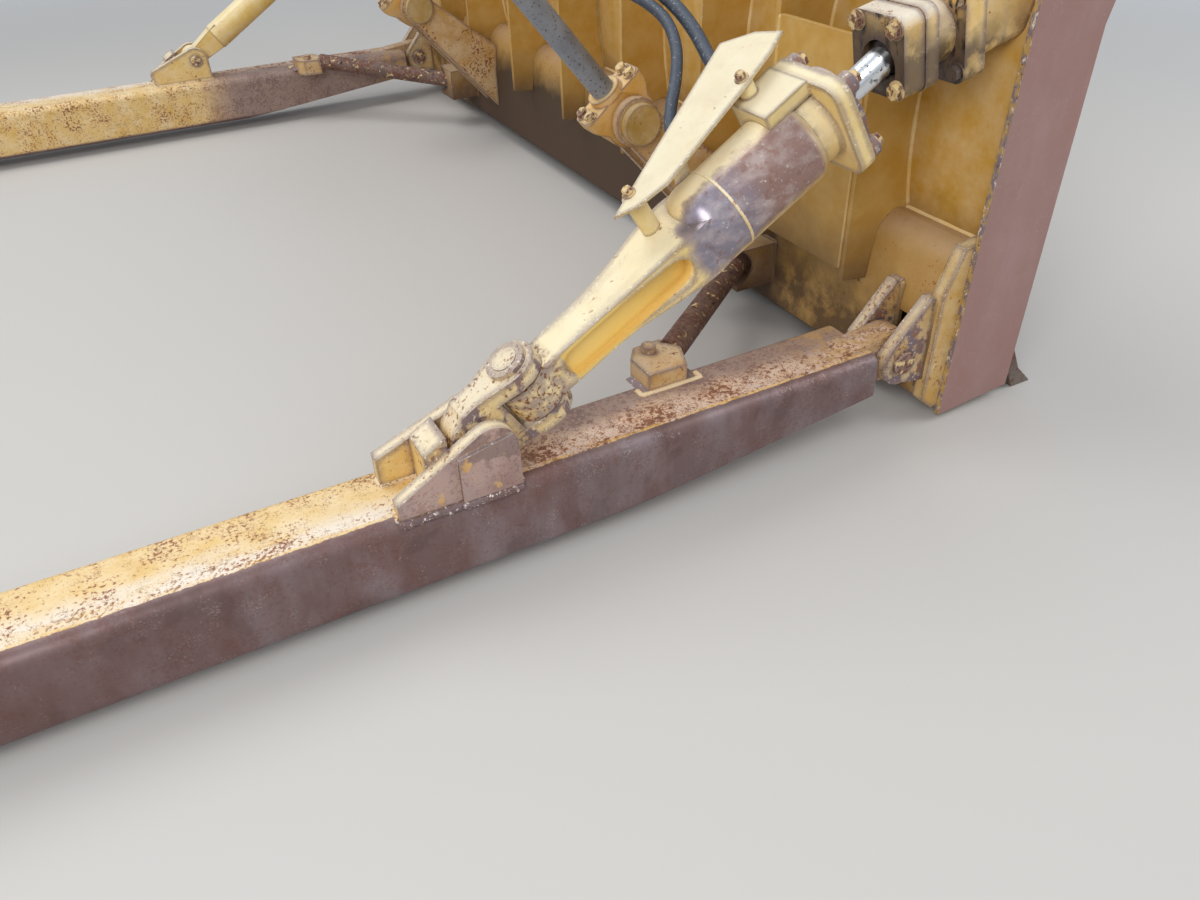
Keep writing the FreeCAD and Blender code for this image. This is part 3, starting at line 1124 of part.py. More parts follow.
tube_at = LIFT + LIFT_DIR * val("lift_gland_at")
lift_tube = rod("lift_tube", "lift_tube_rad", "lift_tube_long", tube_at, LIFT_DIR)
lift_gland = rod("lift_gland", "lift_tube_rad + 14", "58", tube_at + LIFT_DIR * 12, LIFT_DIR)
lift_band = rod("lift_band", "lift_tube_rad + 16", "112",
                LIFT + LIFT_DIR * (val("lift_trunnion_at") - 56), LIFT_DIR)
arm_long = (val("lift_tube_rad") + 16 + val("lift_trunnion_long")) * 2
trunnion_at = LIFT + LIFT_DIR * val("lift_trunnion_at")
lift_arms = rod("lift_trunnions", "lift_trunnion_rad", "(lift_tube_rad + 16 + lift_trunnion_long)*2",
                trunnion_at - V(0, arm_long / 2, 0), V(0, 1, 0))
lift_chamber = rod("lift_tube_chamber", "lift_rod_rad + 5", "lift_tube_long - 110", tube_at + LIFT_DIR * 70, LIFT_DIR)
lift_throat = rod("lift_tube_throat", "lift_rod_rad + fit_play", "120", tube_at - LIFT_DIR * 5, LIFT_DIR)
lift_hollow = fuse("lift_tube_bore", [lift_chamber, lift_throat])
lift_solid = cut("lift_tube_solid", fuse("lift_tube_fused", [lift_tube, lift_gland, lift_band, lift_arms]), lift_hollow)
keep(lift_solid, "right_lift_barrel")
keep(mirror("lift_barrel_mirror", lift_solid), "left_lift_barrel")
doc.recompute()

# Left side: the like arm, socket, lugs, bracket and brace, and a screw brace for the cylinder
for label, source in (("left_push_arm", arm), ("left_trunnion_socket", sock), ("left_trunnion_cap", right_cap),
                      ("left_brace_bracket", bracket_cut), ("left_diagonal_brace", brace)):
    keep(mirror(label + "_mirror", source), label)
lugs_on_arm = [o for o in PARTS if o.Label == "right_tilt_lugs"][0]
keep(mirror("left_lugs_mirror", lugs_on_arm), "left_brace_lugs")
keep(mirror("left_lug_pin_mirror", lug_pin), "left_lug_pin")

strut = body("strut_body")
sk = sketch(strut, "strut_eye_side", "XZ_Plane", "0")
ring(sk, "0", "0", "lug_rad - 4")
pad(strut, sk, "lug_gap - 12", "strut_eye")
sk = sketch(strut, "strut_neck_side", "XZ_Plane", "0")
outline(sk, [("0", "-lug_rad*0.6"), ("link_reach + 34", "-tube_rad*0.55"),
             ("link_reach + 34", "tube_rad*0.55"), ("0", "lug_rad*0.6")])
pad(strut, sk, "lug_gap - 12", "strut_neck")
sk = sketch(strut, "strut_tube_section", "YZ_Plane", "link_reach + 4")
ring(sk, "0", "0", "tube_rad*0.62")
pad(strut, sk, "tube_end - 30 - link_reach", "strut_tube", mid=False)
sk = sketch(strut, "strut_nut_section", "YZ_Plane", "tube_end - 110")
ring(sk, "0", "0", "tube_rad*0.82")
pad(strut, sk, "tube_rad*1.2", "strut_nut", mid=False)
sk = sketch(strut, "strut_bore_section", "YZ_Plane", "shank_end + 12 + tube_long")
ring(sk, "0", "0", "rod_rad - 1 + fit_play")
pocket(strut, sk, "tube_long*2", "strut_bore")
sk = sketch(strut, "strut_pin_side", "XZ_Plane", "0")
ring(sk, "0", "0", "link_pin_rad + fit_play")
pocket(strut, sk, "lug_gap*2", "strut_pin_bore")
side_shift = V(0, 2 * (val("arm_to_middle") - TILT_Y), 0)
strut.Placement = App.Placement(LUG + side_shift, TILT_PLACE.Rotation)
keep(strut, "screw_brace_tube")
screw_bar = rod("screw_bar", "rod_rad - 1", "1", rod_start + side_shift, TILT_DIR)
screw_bar.setExpression("Height", named("tilt_long - rod_start"))
screw_ball = doc.addObject("Part::Sphere", "screw_ball_form")
put(screw_ball, Radius="ball_rad")
screw_ball.Placement = App.Placement(BALL + side_shift, App.Rotation())
keep(fuse("screw_solid", [screw_bar, screw_ball]), "screw_brace_rod")
doc.recompute()

# Check and write
bad = []
for obj in doc.Objects:
    if "Invalid" in obj.State or "Error" in obj.State:
        bad.append(obj.Name)
for obj in PARTS:
    if obj.Shape.isNull() or not obj.Shape.isValid():
        bad.append(obj.Label)
if bad:
    raise RuntimeError("failed: " + ", ".join(bad))
os.makedirs("parts", exist_ok=True)
total = 0.0
for obj in PARTS:
    total += obj.Shape.Volume
    obj.Shape.exportStep("parts/%s.step" % obj.Label)
print("%d pieces, %.4f cubic metres" % (len(PARTS), total / 1e9))
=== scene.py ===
"""Dozer blade with push arms, tilt cylinder, screw brace and lift cylinders: how it looks.

X points forward, Y to the left and Z up, in metres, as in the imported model. The sizes of the
classes below are in millimetres, as a drawing gives them.
"""
import json
import logging
import math
from dataclasses import dataclass
from enum import Enum
from typing import Callable

import bmesh
import bpy
import numpy as np
from mathutils import Matrix

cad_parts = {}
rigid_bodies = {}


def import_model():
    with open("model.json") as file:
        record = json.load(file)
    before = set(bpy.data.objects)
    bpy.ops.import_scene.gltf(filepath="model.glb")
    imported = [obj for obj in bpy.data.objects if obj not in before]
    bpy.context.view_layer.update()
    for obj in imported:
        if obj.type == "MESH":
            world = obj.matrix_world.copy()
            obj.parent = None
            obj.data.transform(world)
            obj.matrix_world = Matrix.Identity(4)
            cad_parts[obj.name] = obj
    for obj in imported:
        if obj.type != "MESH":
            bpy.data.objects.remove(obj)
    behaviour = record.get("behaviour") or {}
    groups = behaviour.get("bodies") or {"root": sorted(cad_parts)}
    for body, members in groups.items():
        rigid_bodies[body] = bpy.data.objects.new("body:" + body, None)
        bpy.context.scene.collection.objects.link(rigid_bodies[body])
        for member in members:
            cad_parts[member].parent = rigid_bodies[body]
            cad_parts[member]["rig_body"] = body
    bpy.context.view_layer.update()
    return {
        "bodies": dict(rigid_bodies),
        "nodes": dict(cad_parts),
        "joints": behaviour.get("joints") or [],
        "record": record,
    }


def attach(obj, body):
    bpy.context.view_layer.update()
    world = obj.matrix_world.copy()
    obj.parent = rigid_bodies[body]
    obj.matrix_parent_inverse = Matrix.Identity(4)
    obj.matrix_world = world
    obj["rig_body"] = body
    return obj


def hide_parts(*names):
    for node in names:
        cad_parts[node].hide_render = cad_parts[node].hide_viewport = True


LOG = logging.getLogger("blade")
MM = 0.001
MIDDLE = 1485.0
WORLD_HEX = "#DDE3EA"
Array = np.ndarray
Material = bpy.types.Material
Piece = bpy.types.Object
Socket = bpy.types.NodeSocket
Test = Callable[[Array, Array], Array]


class Axis(Enum):
    """An axis of the part, by its number."""

    FORWARD = 0
    LEFT = 1
    UP = 2


class Slot(Enum):
    """The record's material slots."""

    PAINT = "yellow_paint"
    PLATE = "worn_plate"
    SCOURED = "scoured_steel"
    CHROME = "chrome_rod"
    ROD = "dark_rod"
    PIN = "pin_steel"
    HOSE = "black_hose"


# Colours and shader nodes


def linear(hex_colour: str) -> tuple[float, float, float, float]:
    """Turns an sRGB hex colour into the linear values that shaders take.

    Args:
        hex_colour: Six hex digits after a hash.

    Returns:
        Red, green and blue in linear light, and an alpha of 1.
    """
    parts = [int(hex_colour[i:i + 2], 16) / 255 for i in (1, 3, 5)]
    out = [p / 12.92 if p <= 0.04045 else ((p + 0.055) / 1.055) ** 2.4 for p in parts]
    return (out[0], out[1], out[2], 1.0)


def add_node(tree: bpy.types.NodeTree, kind: str, settings: dict | None = None,
             inputs: dict | None = None, out: int | str = 0) -> Socket:
    """Adds one shader node with its settings and links.

    Args:
        tree: The node tree that it goes into.
        kind: The node's type, without the leading ShaderNode.
        settings: Properties of the node.
        inputs: Values or other nodes' outputs, by input name or number.
        out: Which output is handed back.

    Returns:
        That output socket.
    """
    node = tree.nodes.new("ShaderNode" + kind)
    for name, value in (settings or {}).items():
        setattr(node, name, value)
    for key, value in (inputs or {}).items():
        socket = node.inputs[key]
        if isinstance(value, Socket):
            tree.links.new(value, socket)
        else:
            socket.default_value = value
    return node.outputs[out]


class Coat:
    """A steel surface built up in layers, from the metal out to the dust.

    Masks are numbers from 0 to 1. Places are read in the part's own frame, in metres.
    """

    def __init__(self, name: str, base: str, rough: float, metal: float = 0.0) -> None:
        """Starts with an even base.

        Args:
            name: What the finish is.
            base: Its colour.
            rough: Its roughness.
            metal: How metallic it is.
        """
        self.material = bpy.data.materials.new(name)
        self.material.use_nodes = True
        self.tree = self.material.node_tree
        self.shader = self.tree.nodes["Principled BSDF"]
        self.colour: Socket | tuple = linear(base)
        self.rough: Socket | float = rough
        self.metal: Socket | float = metal
        self.height: Socket | float = 0.5
        self.place = add_node(self.tree, "TexCoord", out="Object")
        self.normal = add_node(self.tree, "TexCoord", out="Normal")

    def node(self, kind: str, settings: dict | None = None, inputs: dict | None = None,
             out: int | str = 0) -> Socket:
        """Adds a node to this finish."""
        return add_node(self.tree, kind, settings, inputs, out)

    def overlap(self, *masks: Socket | float) -> Socket:
        """The mask of what several masks, or shares of one, have in common."""
        whole = masks[0]
        for mask in masks[1:]:
            whole = self.node("Math", {"operation": "MULTIPLY"}, {0: whole, 1: mask})
        return whole

    def within(self, number: Socket, *limits: float) -> Socket:
        """A mask of where a number is past its limits.

        Args:
            number: The number, such as a distance.
            limits: Pairs of the value where the mask starts and the value where it is full.

        Returns:
            What the masks of all pairs have in common.
        """
        masks = [self.node("MapRange", None, {"Value": number, "From Min": start, "From Max": full})
                 for start, full in zip(limits[::2], limits[1::2])]
        return self.overlap(*masks)

    def part(self, axis: Axis, of_normal: bool = False) -> Socket:
        """The place, or the facing, along one axis."""
        return self.node("SeparateXYZ", None, {0: self.normal if of_normal else self.place}, out=axis.value)

    def leftward(self) -> Socket:
        """How far a place is to the left of the blade's middle, in metres."""
        return self.node("Math", {"operation": "SUBTRACT"}, {0: self.part(Axis.LEFT), 1: MIDDLE * MM})

    def outward(self) -> Socket:
        """How far a place is from the blade's middle, to either side, in metres."""
        return self.node("Math", {"operation": "ABSOLUTE"}, {0: self.leftward()})

    def facing_out(self) -> Socket:
        """How far a face looks away from the blade's middle, from -1 to 1."""
        side = self.node("Math", {"operation": "SIGN"}, {0: self.leftward()})
        return self.overlap(side, self.part(Axis.LEFT, True))

    def along(self, direction: Array, origin: Array) -> Socket:
        """The distance along a direction from a point, in metres."""
        dot = self.node("VectorMath", {"operation": "DOT_PRODUCT"}, {
            0: self.place, 1: tuple(map(float, direction))}, out="Value")
        return self.node("Math", {"operation": "SUBTRACT"}, {0: dot, 1: float(np.dot(direction, origin))})

    def noise(self, size_mm: float, detail: float = 4.0, stretch: tuple = (1.0, 1.0, 1.0),
              seed: float = 0.0) -> Socket:
        """Noise whose patches have a real size.

        Args:
            size_mm: How large a patch is.
            detail: How ragged it is.
            stretch: How much finer the patches are along each axis.
            seed: Moves the pattern.

        Returns:
            A number about 0.5.
        """
        moved = self.node("Mapping", None, {
            "Vector": self.place, "Scale": stretch, "Location": (seed, seed * 0.7, seed * 1.3)})
        return self.node("TexNoise", None, {
            "Vector": moved, "Scale": 1.0 / (size_mm * MM), "Detail": detail, "Roughness": 0.62})

    def speckle(self, size_mm: float, level: float, soft: float = 0.04, detail: float = 5.0,
                stretch: tuple = (1.0, 1.0, 1.0), seed: float = 0.0, swarm: float = 0.0) -> Socket:
        """Irregular patches of a real size.

        Args:
            size_mm: How large a patch is.
            level: Where the noise is cut; 0.5 covers half and 0.65 a tenth.
            soft: How soft the rim of a patch is.
            detail: How ragged it is.
            stretch: How much finer the patches are along each axis.
            seed: Moves the pattern.
            swarm: How much the patches gather in swarms, ten times their own size.

        Returns:
            A mask of 0 to 1.
        """
        value = self.noise(size_mm, detail, stretch, seed)
        if swarm:
            crowd = self.noise(size_mm * 10, 2.0, (1.0, 1.0, 1.0), seed + 3.7)
            value = self.node("Math", {"operation": "MULTIPLY_ADD"}, {0: crowd, 1: swarm, 2: value})
            level += 0.5 * swarm
        return self.within(value, level - soft, level + soft)

    def ragged(self, number: Socket, size_mm: float, reach_mm: float, seed: float = 0.0) -> Socket:
        """A distance whose contour lines are ragged, for the border of a worn patch."""
        reach = reach_mm * MM
        wave = self.node("MapRange", None, {
            "Value": self.noise(size_mm, 6.0, seed=seed), "To Min": -reach, "To Max": reach})
        return self.node("Math", {"operation": "ADD"}, {0: wave, 1: number})

    def edges(self, reach_mm: float, knocks: float = 0.42) -> Socket:
        """A mask of the edges, with the ragged border that knocks leave.

        Args:
            reach_mm: How far from the edge it can reach.
            knocks: How little is knocked off; lower leaves a wider rim bare.

        Returns:
            A mask of 0 to 1.
        """
        rounded = self.node("Bevel", {"samples": 4}, {"Radius": reach_mm * MM})
        true = self.node("NewGeometry", out="Normal")
        same = self.node("VectorMath", {"operation": "DOT_PRODUCT"}, {0: rounded, 1: true}, out="Value")
        uneven = self.node("Math", {"operation": "MULTIPLY_ADD"}, {
            0: self.noise(20, 8.0, seed=3.0), 1: 0.24, 2: same})
        cut = 1.16 - 0.55 * knocks
        return self.within(uneven, cut + 0.12, cut + 0.09)

    def cover(self, mask: Socket | float, colour: str, rough: float, metal: float = 0.0,
              raised: float = 0.0, share: float = 1.0) -> None:
        """Lays a layer over what is there.

        Args:
            mask: Where the layer is.
            colour: Its colour.
            rough: Its roughness.
            metal: How metallic it is.
            raised: How much it stands above what it covers, from -1 to 1.
            share: How thickly it covers.
        """
        if share < 1.0:
            mask = self.overlap(mask, share)
        self.colour = self.node("Mix", {"data_type": "RGBA"}, {
            0: mask, 6: self.colour, 7: linear(colour)}, out=2)
        if self.rough != rough:
            self.rough = self.node("Mix", None, {0: mask, 2: self.rough, 3: rough})
        if self.metal != metal:
            self.metal = self.node("Mix", None, {0: mask, 2: self.metal, 3: metal})
        if raised:
            self.height = self.node("Mix", None, {0: mask, 2: self.height, 3: 0.5 + raised * 0.5})

    def mottle(self, colour: str, size_mm: float, share: float, seed: float = 0.0) -> None:
        """Lets the colour drift towards another, as faded or stained paint does."""
        self.cover(self.speckle(size_mm, 0.5, 0.16, 4.0, seed=seed), colour, 0.6, share=share)

    def rust_spots(self, level: float, core: str, halo: str, where: Socket | None = None,
                   size_mm: float = 9.0, seed: float = 0.0) -> None:
        """Rust freckles: dark pits in swarms, each with a brown halo in the paint round it.

        Args:
            level: Where the noise is cut; lower means more.
            core: The colour of the pits.
            halo: The colour of the stain round them.
            where: Where they are, if not all over.
            size_mm: How large the largest are.
            seed: Moves the pattern.
        """
        for colour, cut, soft, size, share in ((halo, level - 0.045, 0.04, size_mm, 0.6),
                                               (core, level, 0.02, size_mm, 0.85),
                                               (core, level + 0.01, 0.02, size_mm * 0.4, 0.7)):
            mask = self.speckle(size, cut, soft, 7.0, seed=seed, swarm=0.5)
            if where is not None:
                mask = self.overlap(mask, where)
            self.cover(mask, colour, 0.75, share=share)

    def finish(self, depth_mm: float = 0.6, dents_mm: float = 0.0) -> Material:
        """Joins the layers to the shader.

        Args:
            depth_mm: How deep the relief of the layers is.
            dents_mm: How deep the soft dents are, if there are any.

        Returns:
            The finished material.
        """
        grain = self.noise(2.4, 3.0)
        relief = self.node("Bump", None, {"Height": grain, "Strength": 0.22, "Distance": 0.4 * MM})
        if isinstance(self.height, Socket):
            relief = self.node("Bump", None, {
                "Height": self.height, "Strength": 0.7, "Distance": depth_mm * MM, "Normal": relief})
        if dents_mm:
            relief = self.node("Bump", None, {
                "Height": self.noise(70, 2.0), "Strength": 0.5, "Distance": dents_mm * MM * 4,
                "Normal": relief})
        for name, value in (("Base Color", self.colour), ("Roughness", self.rough),
                            ("Metallic", self.metal), ("Normal", relief)):
            if isinstance(value, Socket):
                self.tree.links.new(value, self.shader.inputs[name])
            else:
                self.shader.inputs[name].default_value = value
        return self.material


# Finishes


@dataclass(frozen=True)
class Palette:
    """Colours that several finishes share."""

    rust: str = "#643A28"
    halo: str = "#B98348"
    bare: str = "#7C6A6E"
    bare_pale: str = "#E2DAD3"
    plate: str = "#766261"
    plate_dark: str = "#594644"
    plate_red: str = "#6C4840"
    grease: str = "#1D1612"
    dust: str = "#B9AEA2"
    # Laid on the lowest parts, where it stands for soil and also for painted shade.
    soil: str = "#5A4130"


HUES = Palette()


@dataclass(frozen=True)
class Enamel:
    """Single-coat alkyd enamel, sprayed on primed steel years ago.

    It is semi-gloss where it is shaded. Faces that look up take another colour, mostly paler:
    chalky, faded paint together with painted overhead light. Rust comes through in freckles,
    and the edges are knocked down to grey steel.
    """

    name: str
    base: str = "#E0BC62"
    # Colour and share of the faces that look up: faded paint with painted overhead light.
    faded_and_sky_lit: str = "#F0E1B4"
    faded_and_sky_lit_share: float = 0.85
    deep: str = "#C4933A"
    chalk: str = "#F6EDD6"
    freckles: float = 0.74
    rim_mm: float = 10.0
    knocks: float = 0.42
    bare: str = HUES.bare
    rubbed_out: float = 0.0
    clouds: float = 0.4
    soil_and_shade_top: float = -9.0
    soil_and_shade_share: float = 0.9
    dust_share: float = 0.15

    def coat(self) -> Coat:
        """The layers that every enamelled piece has.

        Returns:
            The coat, open for more layers.
        """
        coat = Coat(self.name, self.base, 0.42)
        coat.mottle(self.deep, 130, self.clouds, seed=1.0)
        # Faces that look up take the top colour: paint faded by weather, together with painted overhead light.
        coat.cover(coat.within(coat.part(Axis.UP, True), -0.1, 0.85), self.faded_and_sky_lit, 0.55, share=self.faded_and_sky_lit_share)
        coat.mottle(self.chalk, 55, 0.35 * self.faded_and_sky_lit_share, seed=2.0)
        coat.cover(coat.speckle(48, 0.6, 0.08, 6.0, seed=5.0), HUES.halo, 0.65, share=0.3 * self.clouds)
        coat.rust_spots(self.freckles, HUES.rust, HUES.halo, seed=7.0)
        if self.rim_mm:
            rim = coat.edges(self.rim_mm, self.knocks)
            coat.cover(rim, self.bare, 0.5, 0.35, -0.7)
            coat.cover(coat.overlap(rim, coat.speckle(7, 0.62, 0.03, 6.0, seed=8.0)),
                       HUES.bare_pale, 0.4, 0.4)
        if self.rubbed_out:
            out = coat.within(coat.facing_out(), 0.35, 0.6)
            worn = coat.overlap(out, coat.speckle(34, 0.62 - 0.24 * self.rubbed_out, 0.03, 8.0, seed=12.0))
            coat.cover(worn, self.bare, 0.42, 0.35, -0.5)
            coat.cover(coat.overlap(worn, coat.speckle(9, 0.63, 0.04, 8.0, seed=8.0)), HUES.bare_pale, 0.4, 0.4)
            coat.cover(coat.overlap(worn, coat.speckle(24, 0.58, 0.05, 6.0, seed=2.5)), "#8A5F45", 0.6)
        # Darker towards the bottom: soil, and painted shade low down.
        if self.soil_and_shade_top > -1.0:
            low = coat.ragged(coat.part(Axis.UP), 90, 60, 9.0)
            coat.cover(coat.within(low, self.soil_and_shade_top + 0.05, self.soil_and_shade_top - 0.12), HUES.soil, 0.85,
                       share=self.soil_and_shade_share)
        if self.dust_share:
            up = coat.within(coat.part(Axis.UP, True), 0.3, 1.0)
            film = coat.overlap(up, coat.speckle(90, 0.5, 0.15, seed=11.0))
            coat.cover(film, HUES.dust, 0.9, share=self.dust_share)
        return coat

    def make(self) -> Material:
        """The finished material."""
        return self.coat().finish(0.5, 0.12)


@dataclass(frozen=True)
class RubbedPlate:
    """Hot-rolled plate that soil and stones have rubbed bare: smooth brown steel, lightly rusted."""

    name: str
    base: str = HUES.plate

    def rub(self, coat: Coat, where: Socket | float) -> None:
        """Lays rubbed steel over a part of a coat.

        Args:
            coat: The coat that it goes on.
            where: The mask of the rubbed faces.
        """
        def on(mask: Socket) -> Socket:
            """Keeps a mask to the rubbed faces."""
            return coat.overlap(mask, where)

        coat.cover(where, self.base, 0.4, 0.45)
        coat.cover(on(coat.speckle(230, 0.5, 0.12, 3.0, seed=9.2)), HUES.plate_red, 0.55, 0.2, share=0.75)
        coat.cover(on(coat.speckle(130, 0.57, 0.02, 4.0, seed=4.4)), HUES.plate_dark, 0.45, 0.3, share=0.5)
        coat.cover(on(coat.speckle(90, 0.56, 0.12, 5.0, (1.0, 1.0, 0.45), 1.2)), "#988A8E", 0.42, 0.4,
                   share=0.55)
        coat.cover(on(coat.speckle(6, 0.58, 0.05, 6.0, seed=2.7, swarm=0.4)), HUES.rust, 0.8, share=0.35)
        coat.cover(on(coat.speckle(4, 0.66, 0.03, 5.0, seed=6.1, swarm=0.5)), "#B5A9A6", 0.38, 0.4, share=0.4)


@dataclass(frozen=True)
class ArmSteel(RubbedPlate):
    """Push arm: cream enamel with rust freckles on top, rubbed brown steel outside and below."""

    border: float = 1.5475

    def make(self) -> Material:
        """The finished material."""
        coat = Enamel(self.name, "#D8B568", "#DDBC7C", 0.95, rim_mm=0.0, freckles=0.72, dust_share=0.0).coat()
        front = coat.within(coat.part(Axis.FORWARD), 1.66, 1.8)
        tip = coat.within(coat.ragged(coat.part(Axis.FORWARD), 60, 50, 1.0), 2.36, 2.46)
        wide = coat.ragged(coat.outward(), 60, 30, 2.0)
        rims = coat.node("Math", {"operation": "MAXIMUM"}, {
            0: coat.within(wide, 1.50, 1.545), 1: coat.within(wide, 1.46, 1.41)})
        rubbed = coat.overlap(coat.within(wide, 1.475, 1.52), coat.speckle(45, 0.42, 0.12, 6.0, (0.4, 1.0, 1.0), 3.1))
        coat.cover(rubbed, "#E6DFD6", 0.5, share=0.75)
        coat.rust_spots(0.63, "#7A4633", "#BE8A55", None, 7.0, 6.5)
        coat.rust_spots(0.63, HUES.rust, "#B9824E", rims, 8.0, 5.0)
        pale = coat.speckle(70, 0.5, 0.1, 5.0, seed=6.6)
        coat.cover(front, "#BA9A88", 0.6, share=0.6)
        coat.cover(coat.overlap(pale, front), "#CDB7AA", 0.6, share=0.6)
        coat.rust_spots(0.56, "#69392A", "#BC854C", front, 8.0, 8.0)
        middle = coat.overlap(coat.within(wide, 1.505, 1.46), front)
        coat.cover(middle, "#83706D", 0.55, 0.25, share=0.75)
        coat.cover(coat.overlap(tip, coat.speckle(24, 0.5, 0.1, 6.0, seed=3.3)), "#B08D58", 0.6, share=0.8)
        out = coat.ragged(coat.outward(), 22, 5.0, 8.0)
        line = coat.overlap(coat.within(out, self.border - 0.009, self.border - 0.003),
                            coat.speckle(60, 0.5, 0.08, 5.0, seed=4.0))
        coat.cover(line, "#DDB35C", 0.5, share=0.6)
        side = coat.within(out, self.border, self.border + 0.002)
        under = coat.within(coat.part(Axis.UP, True), -0.3, -0.6)
        self.rub(coat, coat.node("Math", {"operation": "MAXIMUM"}, {0: side, 1: under}))
        rear = coat.overlap(coat.within(coat.part(Axis.FORWARD), 1.5, 0.7), side)
        coat.cover(rear, "#5E3E37", 0.45, 0.3, share=0.65)
        return coat.finish(0.45, 0.15)


@dataclass(frozen=True)
class LugSteel(RubbedPlate):
    """Lugs on the arm: enamel on their edges and between them, rubbed steel on the outer face."""

    def make(self) -> Material:
        """The finished material."""
        coat = Enamel(self.name, "#DDB85E", "#EADCBC", 0.85, freckles=0.68, rim_mm=24.0, knocks=0.4).coat()
        out = coat.within(coat.facing_out(), 0.75, 0.9)
        outer = coat.overlap(out, coat.within(coat.outward(), 1.562, 1.564))
        left_over = coat.speckle(40, 0.64, 0.03, 6.0, seed=1.9)
        bare = coat.overlap(outer, coat.within(left_over, 1.0, 0.0))
        self.rub(coat, bare)
        coat.cover(coat.overlap(outer, left_over), "#B97A2E", 0.7, share=0.5)
        return coat.finish(0.6, 0.15)


@dataclass(frozen=True)
class WeldMetal(RubbedPlate):
    """Weld beads on the arm: enamelled, but rubbed bare outside, with bright flecks on the crests."""

    def make(self) -> Material:
        """The finished material."""
        coat = Enamel(self.name, "#C9A878", "#DECBA6", 0.7, freckles=0.62, rim_mm=0.0).coat()
        outer = coat.overlap(coat.within(coat.facing_out(), -0.2, 0.2), coat.within(coat.outward(), 1.56, 1.562))
        self.rub(coat, outer)
        coat.cover(coat.overlap(outer, coat.speckle(8, 0.6, 0.03, 6.0, seed=1.0)), "#DDD3CA", 0.4, 0.3)
        return coat.finish(0.5)


@dataclass(frozen=True)
class EndSteel(RubbedPlate):
    """End plate: rubbed steel outside, shaded enamel inside, and a chipped rear edge."""

    def make(self) -> Material:
        """The finished material."""
        coat = Enamel(self.name, "#C0923A", "#CDA45A", 0.6, freckles=0.79, rim_mm=0.0, dust_share=0.0).coat()
        outer = coat.within(coat.outward(), 1.5975, 1.5985)
        self.rub(coat, outer)
        coat.cover(outer, "#B48C84", 0.5, 0.3, share=0.62)
        back = coat.within(coat.part(Axis.FORWARD, True), -0.5, -0.8)
        coat.cover(back, "#A98A4E", 0.55, share=0.8)
        chips = coat.speckle(12, 0.5, 0.04, 8.0, (1.0, 1.0, 0.5), 5.0)
        coat.cover(coat.overlap(back, chips), "#85767A", 0.5, 0.3, -0.4)
        pale = coat.speckle(6, 0.6, 0.04, 8.0, (1.0, 1.0, 0.5), 7.0)
        coat.cover(coat.overlap(back, pale), "#D9CFC2", 0.5, 0.1)
        coat.cover(coat.overlap(back, coat.speckle(8, 0.62, 0.03, 6.0, seed=2.0)), HUES.rust, 0.8)
        return coat.finish(0.4, 0.1)


@dataclass(frozen=True)
class BarrelEnamel:
    """Cylinder barrel: pale enamel, with a patch on its outer side worn through to the steel."""

    name: str
    frame: "TiltFrame"
    patch_from: float = 0.455
    patch_to: float = 0.742

    def make(self) -> Material:
        """The finished material."""
        coat = Enamel(self.name, "#E6C97F", "#EDE2C0", 0.8, freckles=0.74, rim_mm=24.0, knocks=0.42,
                      dust_share=0.0).coat()
        far = coat.along(self.frame.along, self.frame.origin)
        side = coat.along(self.frame.side, self.frame.origin)
        lift = coat.along(self.frame.up, self.frame.origin)
        away = coat.ragged(side, 24, 22, 2.0)
        height = coat.ragged(lift, 24, 24, 5.0)
        patch = coat.overlap(coat.within(away, -0.012, -0.034), coat.within(height, -0.055, -0.03),
                             coat.within(coat.ragged(far, 30, 22, 1.0), self.patch_from, self.patch_from + 0.02),
                             coat.within(far, self.patch_to, self.patch_to - 0.02))
        coat.cover(patch, "#997A70", 0.34, 0.55, -0.5)
        # The rear of the worn patch is blue-grey: bare steel, tinted with a painted reflection of the overhead light.
        rear = coat.within(coat.ragged(far, 40, 30, 7.0), 0.63, 0.55)
        coat.cover(coat.overlap(patch, rear), "#8C8A9A", 0.3, 0.65, -0.5, 0.8)
        rubs = coat.speckle(34, 0.56, 0.1, 8.0, (0.6, 1.0, 1.0), 6.0)
        coat.cover(coat.overlap(patch, rubs), "#CDBDB8", 0.33, 0.45, share=0.55)
        coat.cover(coat.overlap(patch, coat.speckle(6, 0.66, 0.04, 8.0, seed=5.0)), "#E6DDD5", 0.4, share=0.7)
        coat.cover(coat.overlap(patch, coat.speckle(16, 0.6, 0.05, 7.0, seed=4.0)), "#7D5340", 0.5, 0.2, share=0.55)
        inside = coat.overlap(coat.within(side, -0.047, -0.044, 0.047, 0.044),
                              coat.within(lift, -0.034, -0.031, 0.034, 0.031),
                              coat.within(far, 0.186, 0.19, 0.47, 0.465))
        coat.cover(inside, "#E9C05C", 0.4, share=0.8)
        eye = coat.within(coat.ragged(far, 20, 14, 3.0), 0.185, 0.16)
        coat.cover(coat.overlap(eye, coat.speckle(22, 0.46, 0.1, 8.0, seed=3.0)), "#A08D86", 0.5, 0.3,
                   -0.3, 0.85)
        coat.cover(coat.overlap(eye, coat.speckle(8, 0.56, 0.03, 5.0, seed=1.0)), "#7A4A2B", 0.7)
        return coat.finish(0.5, 0.15)


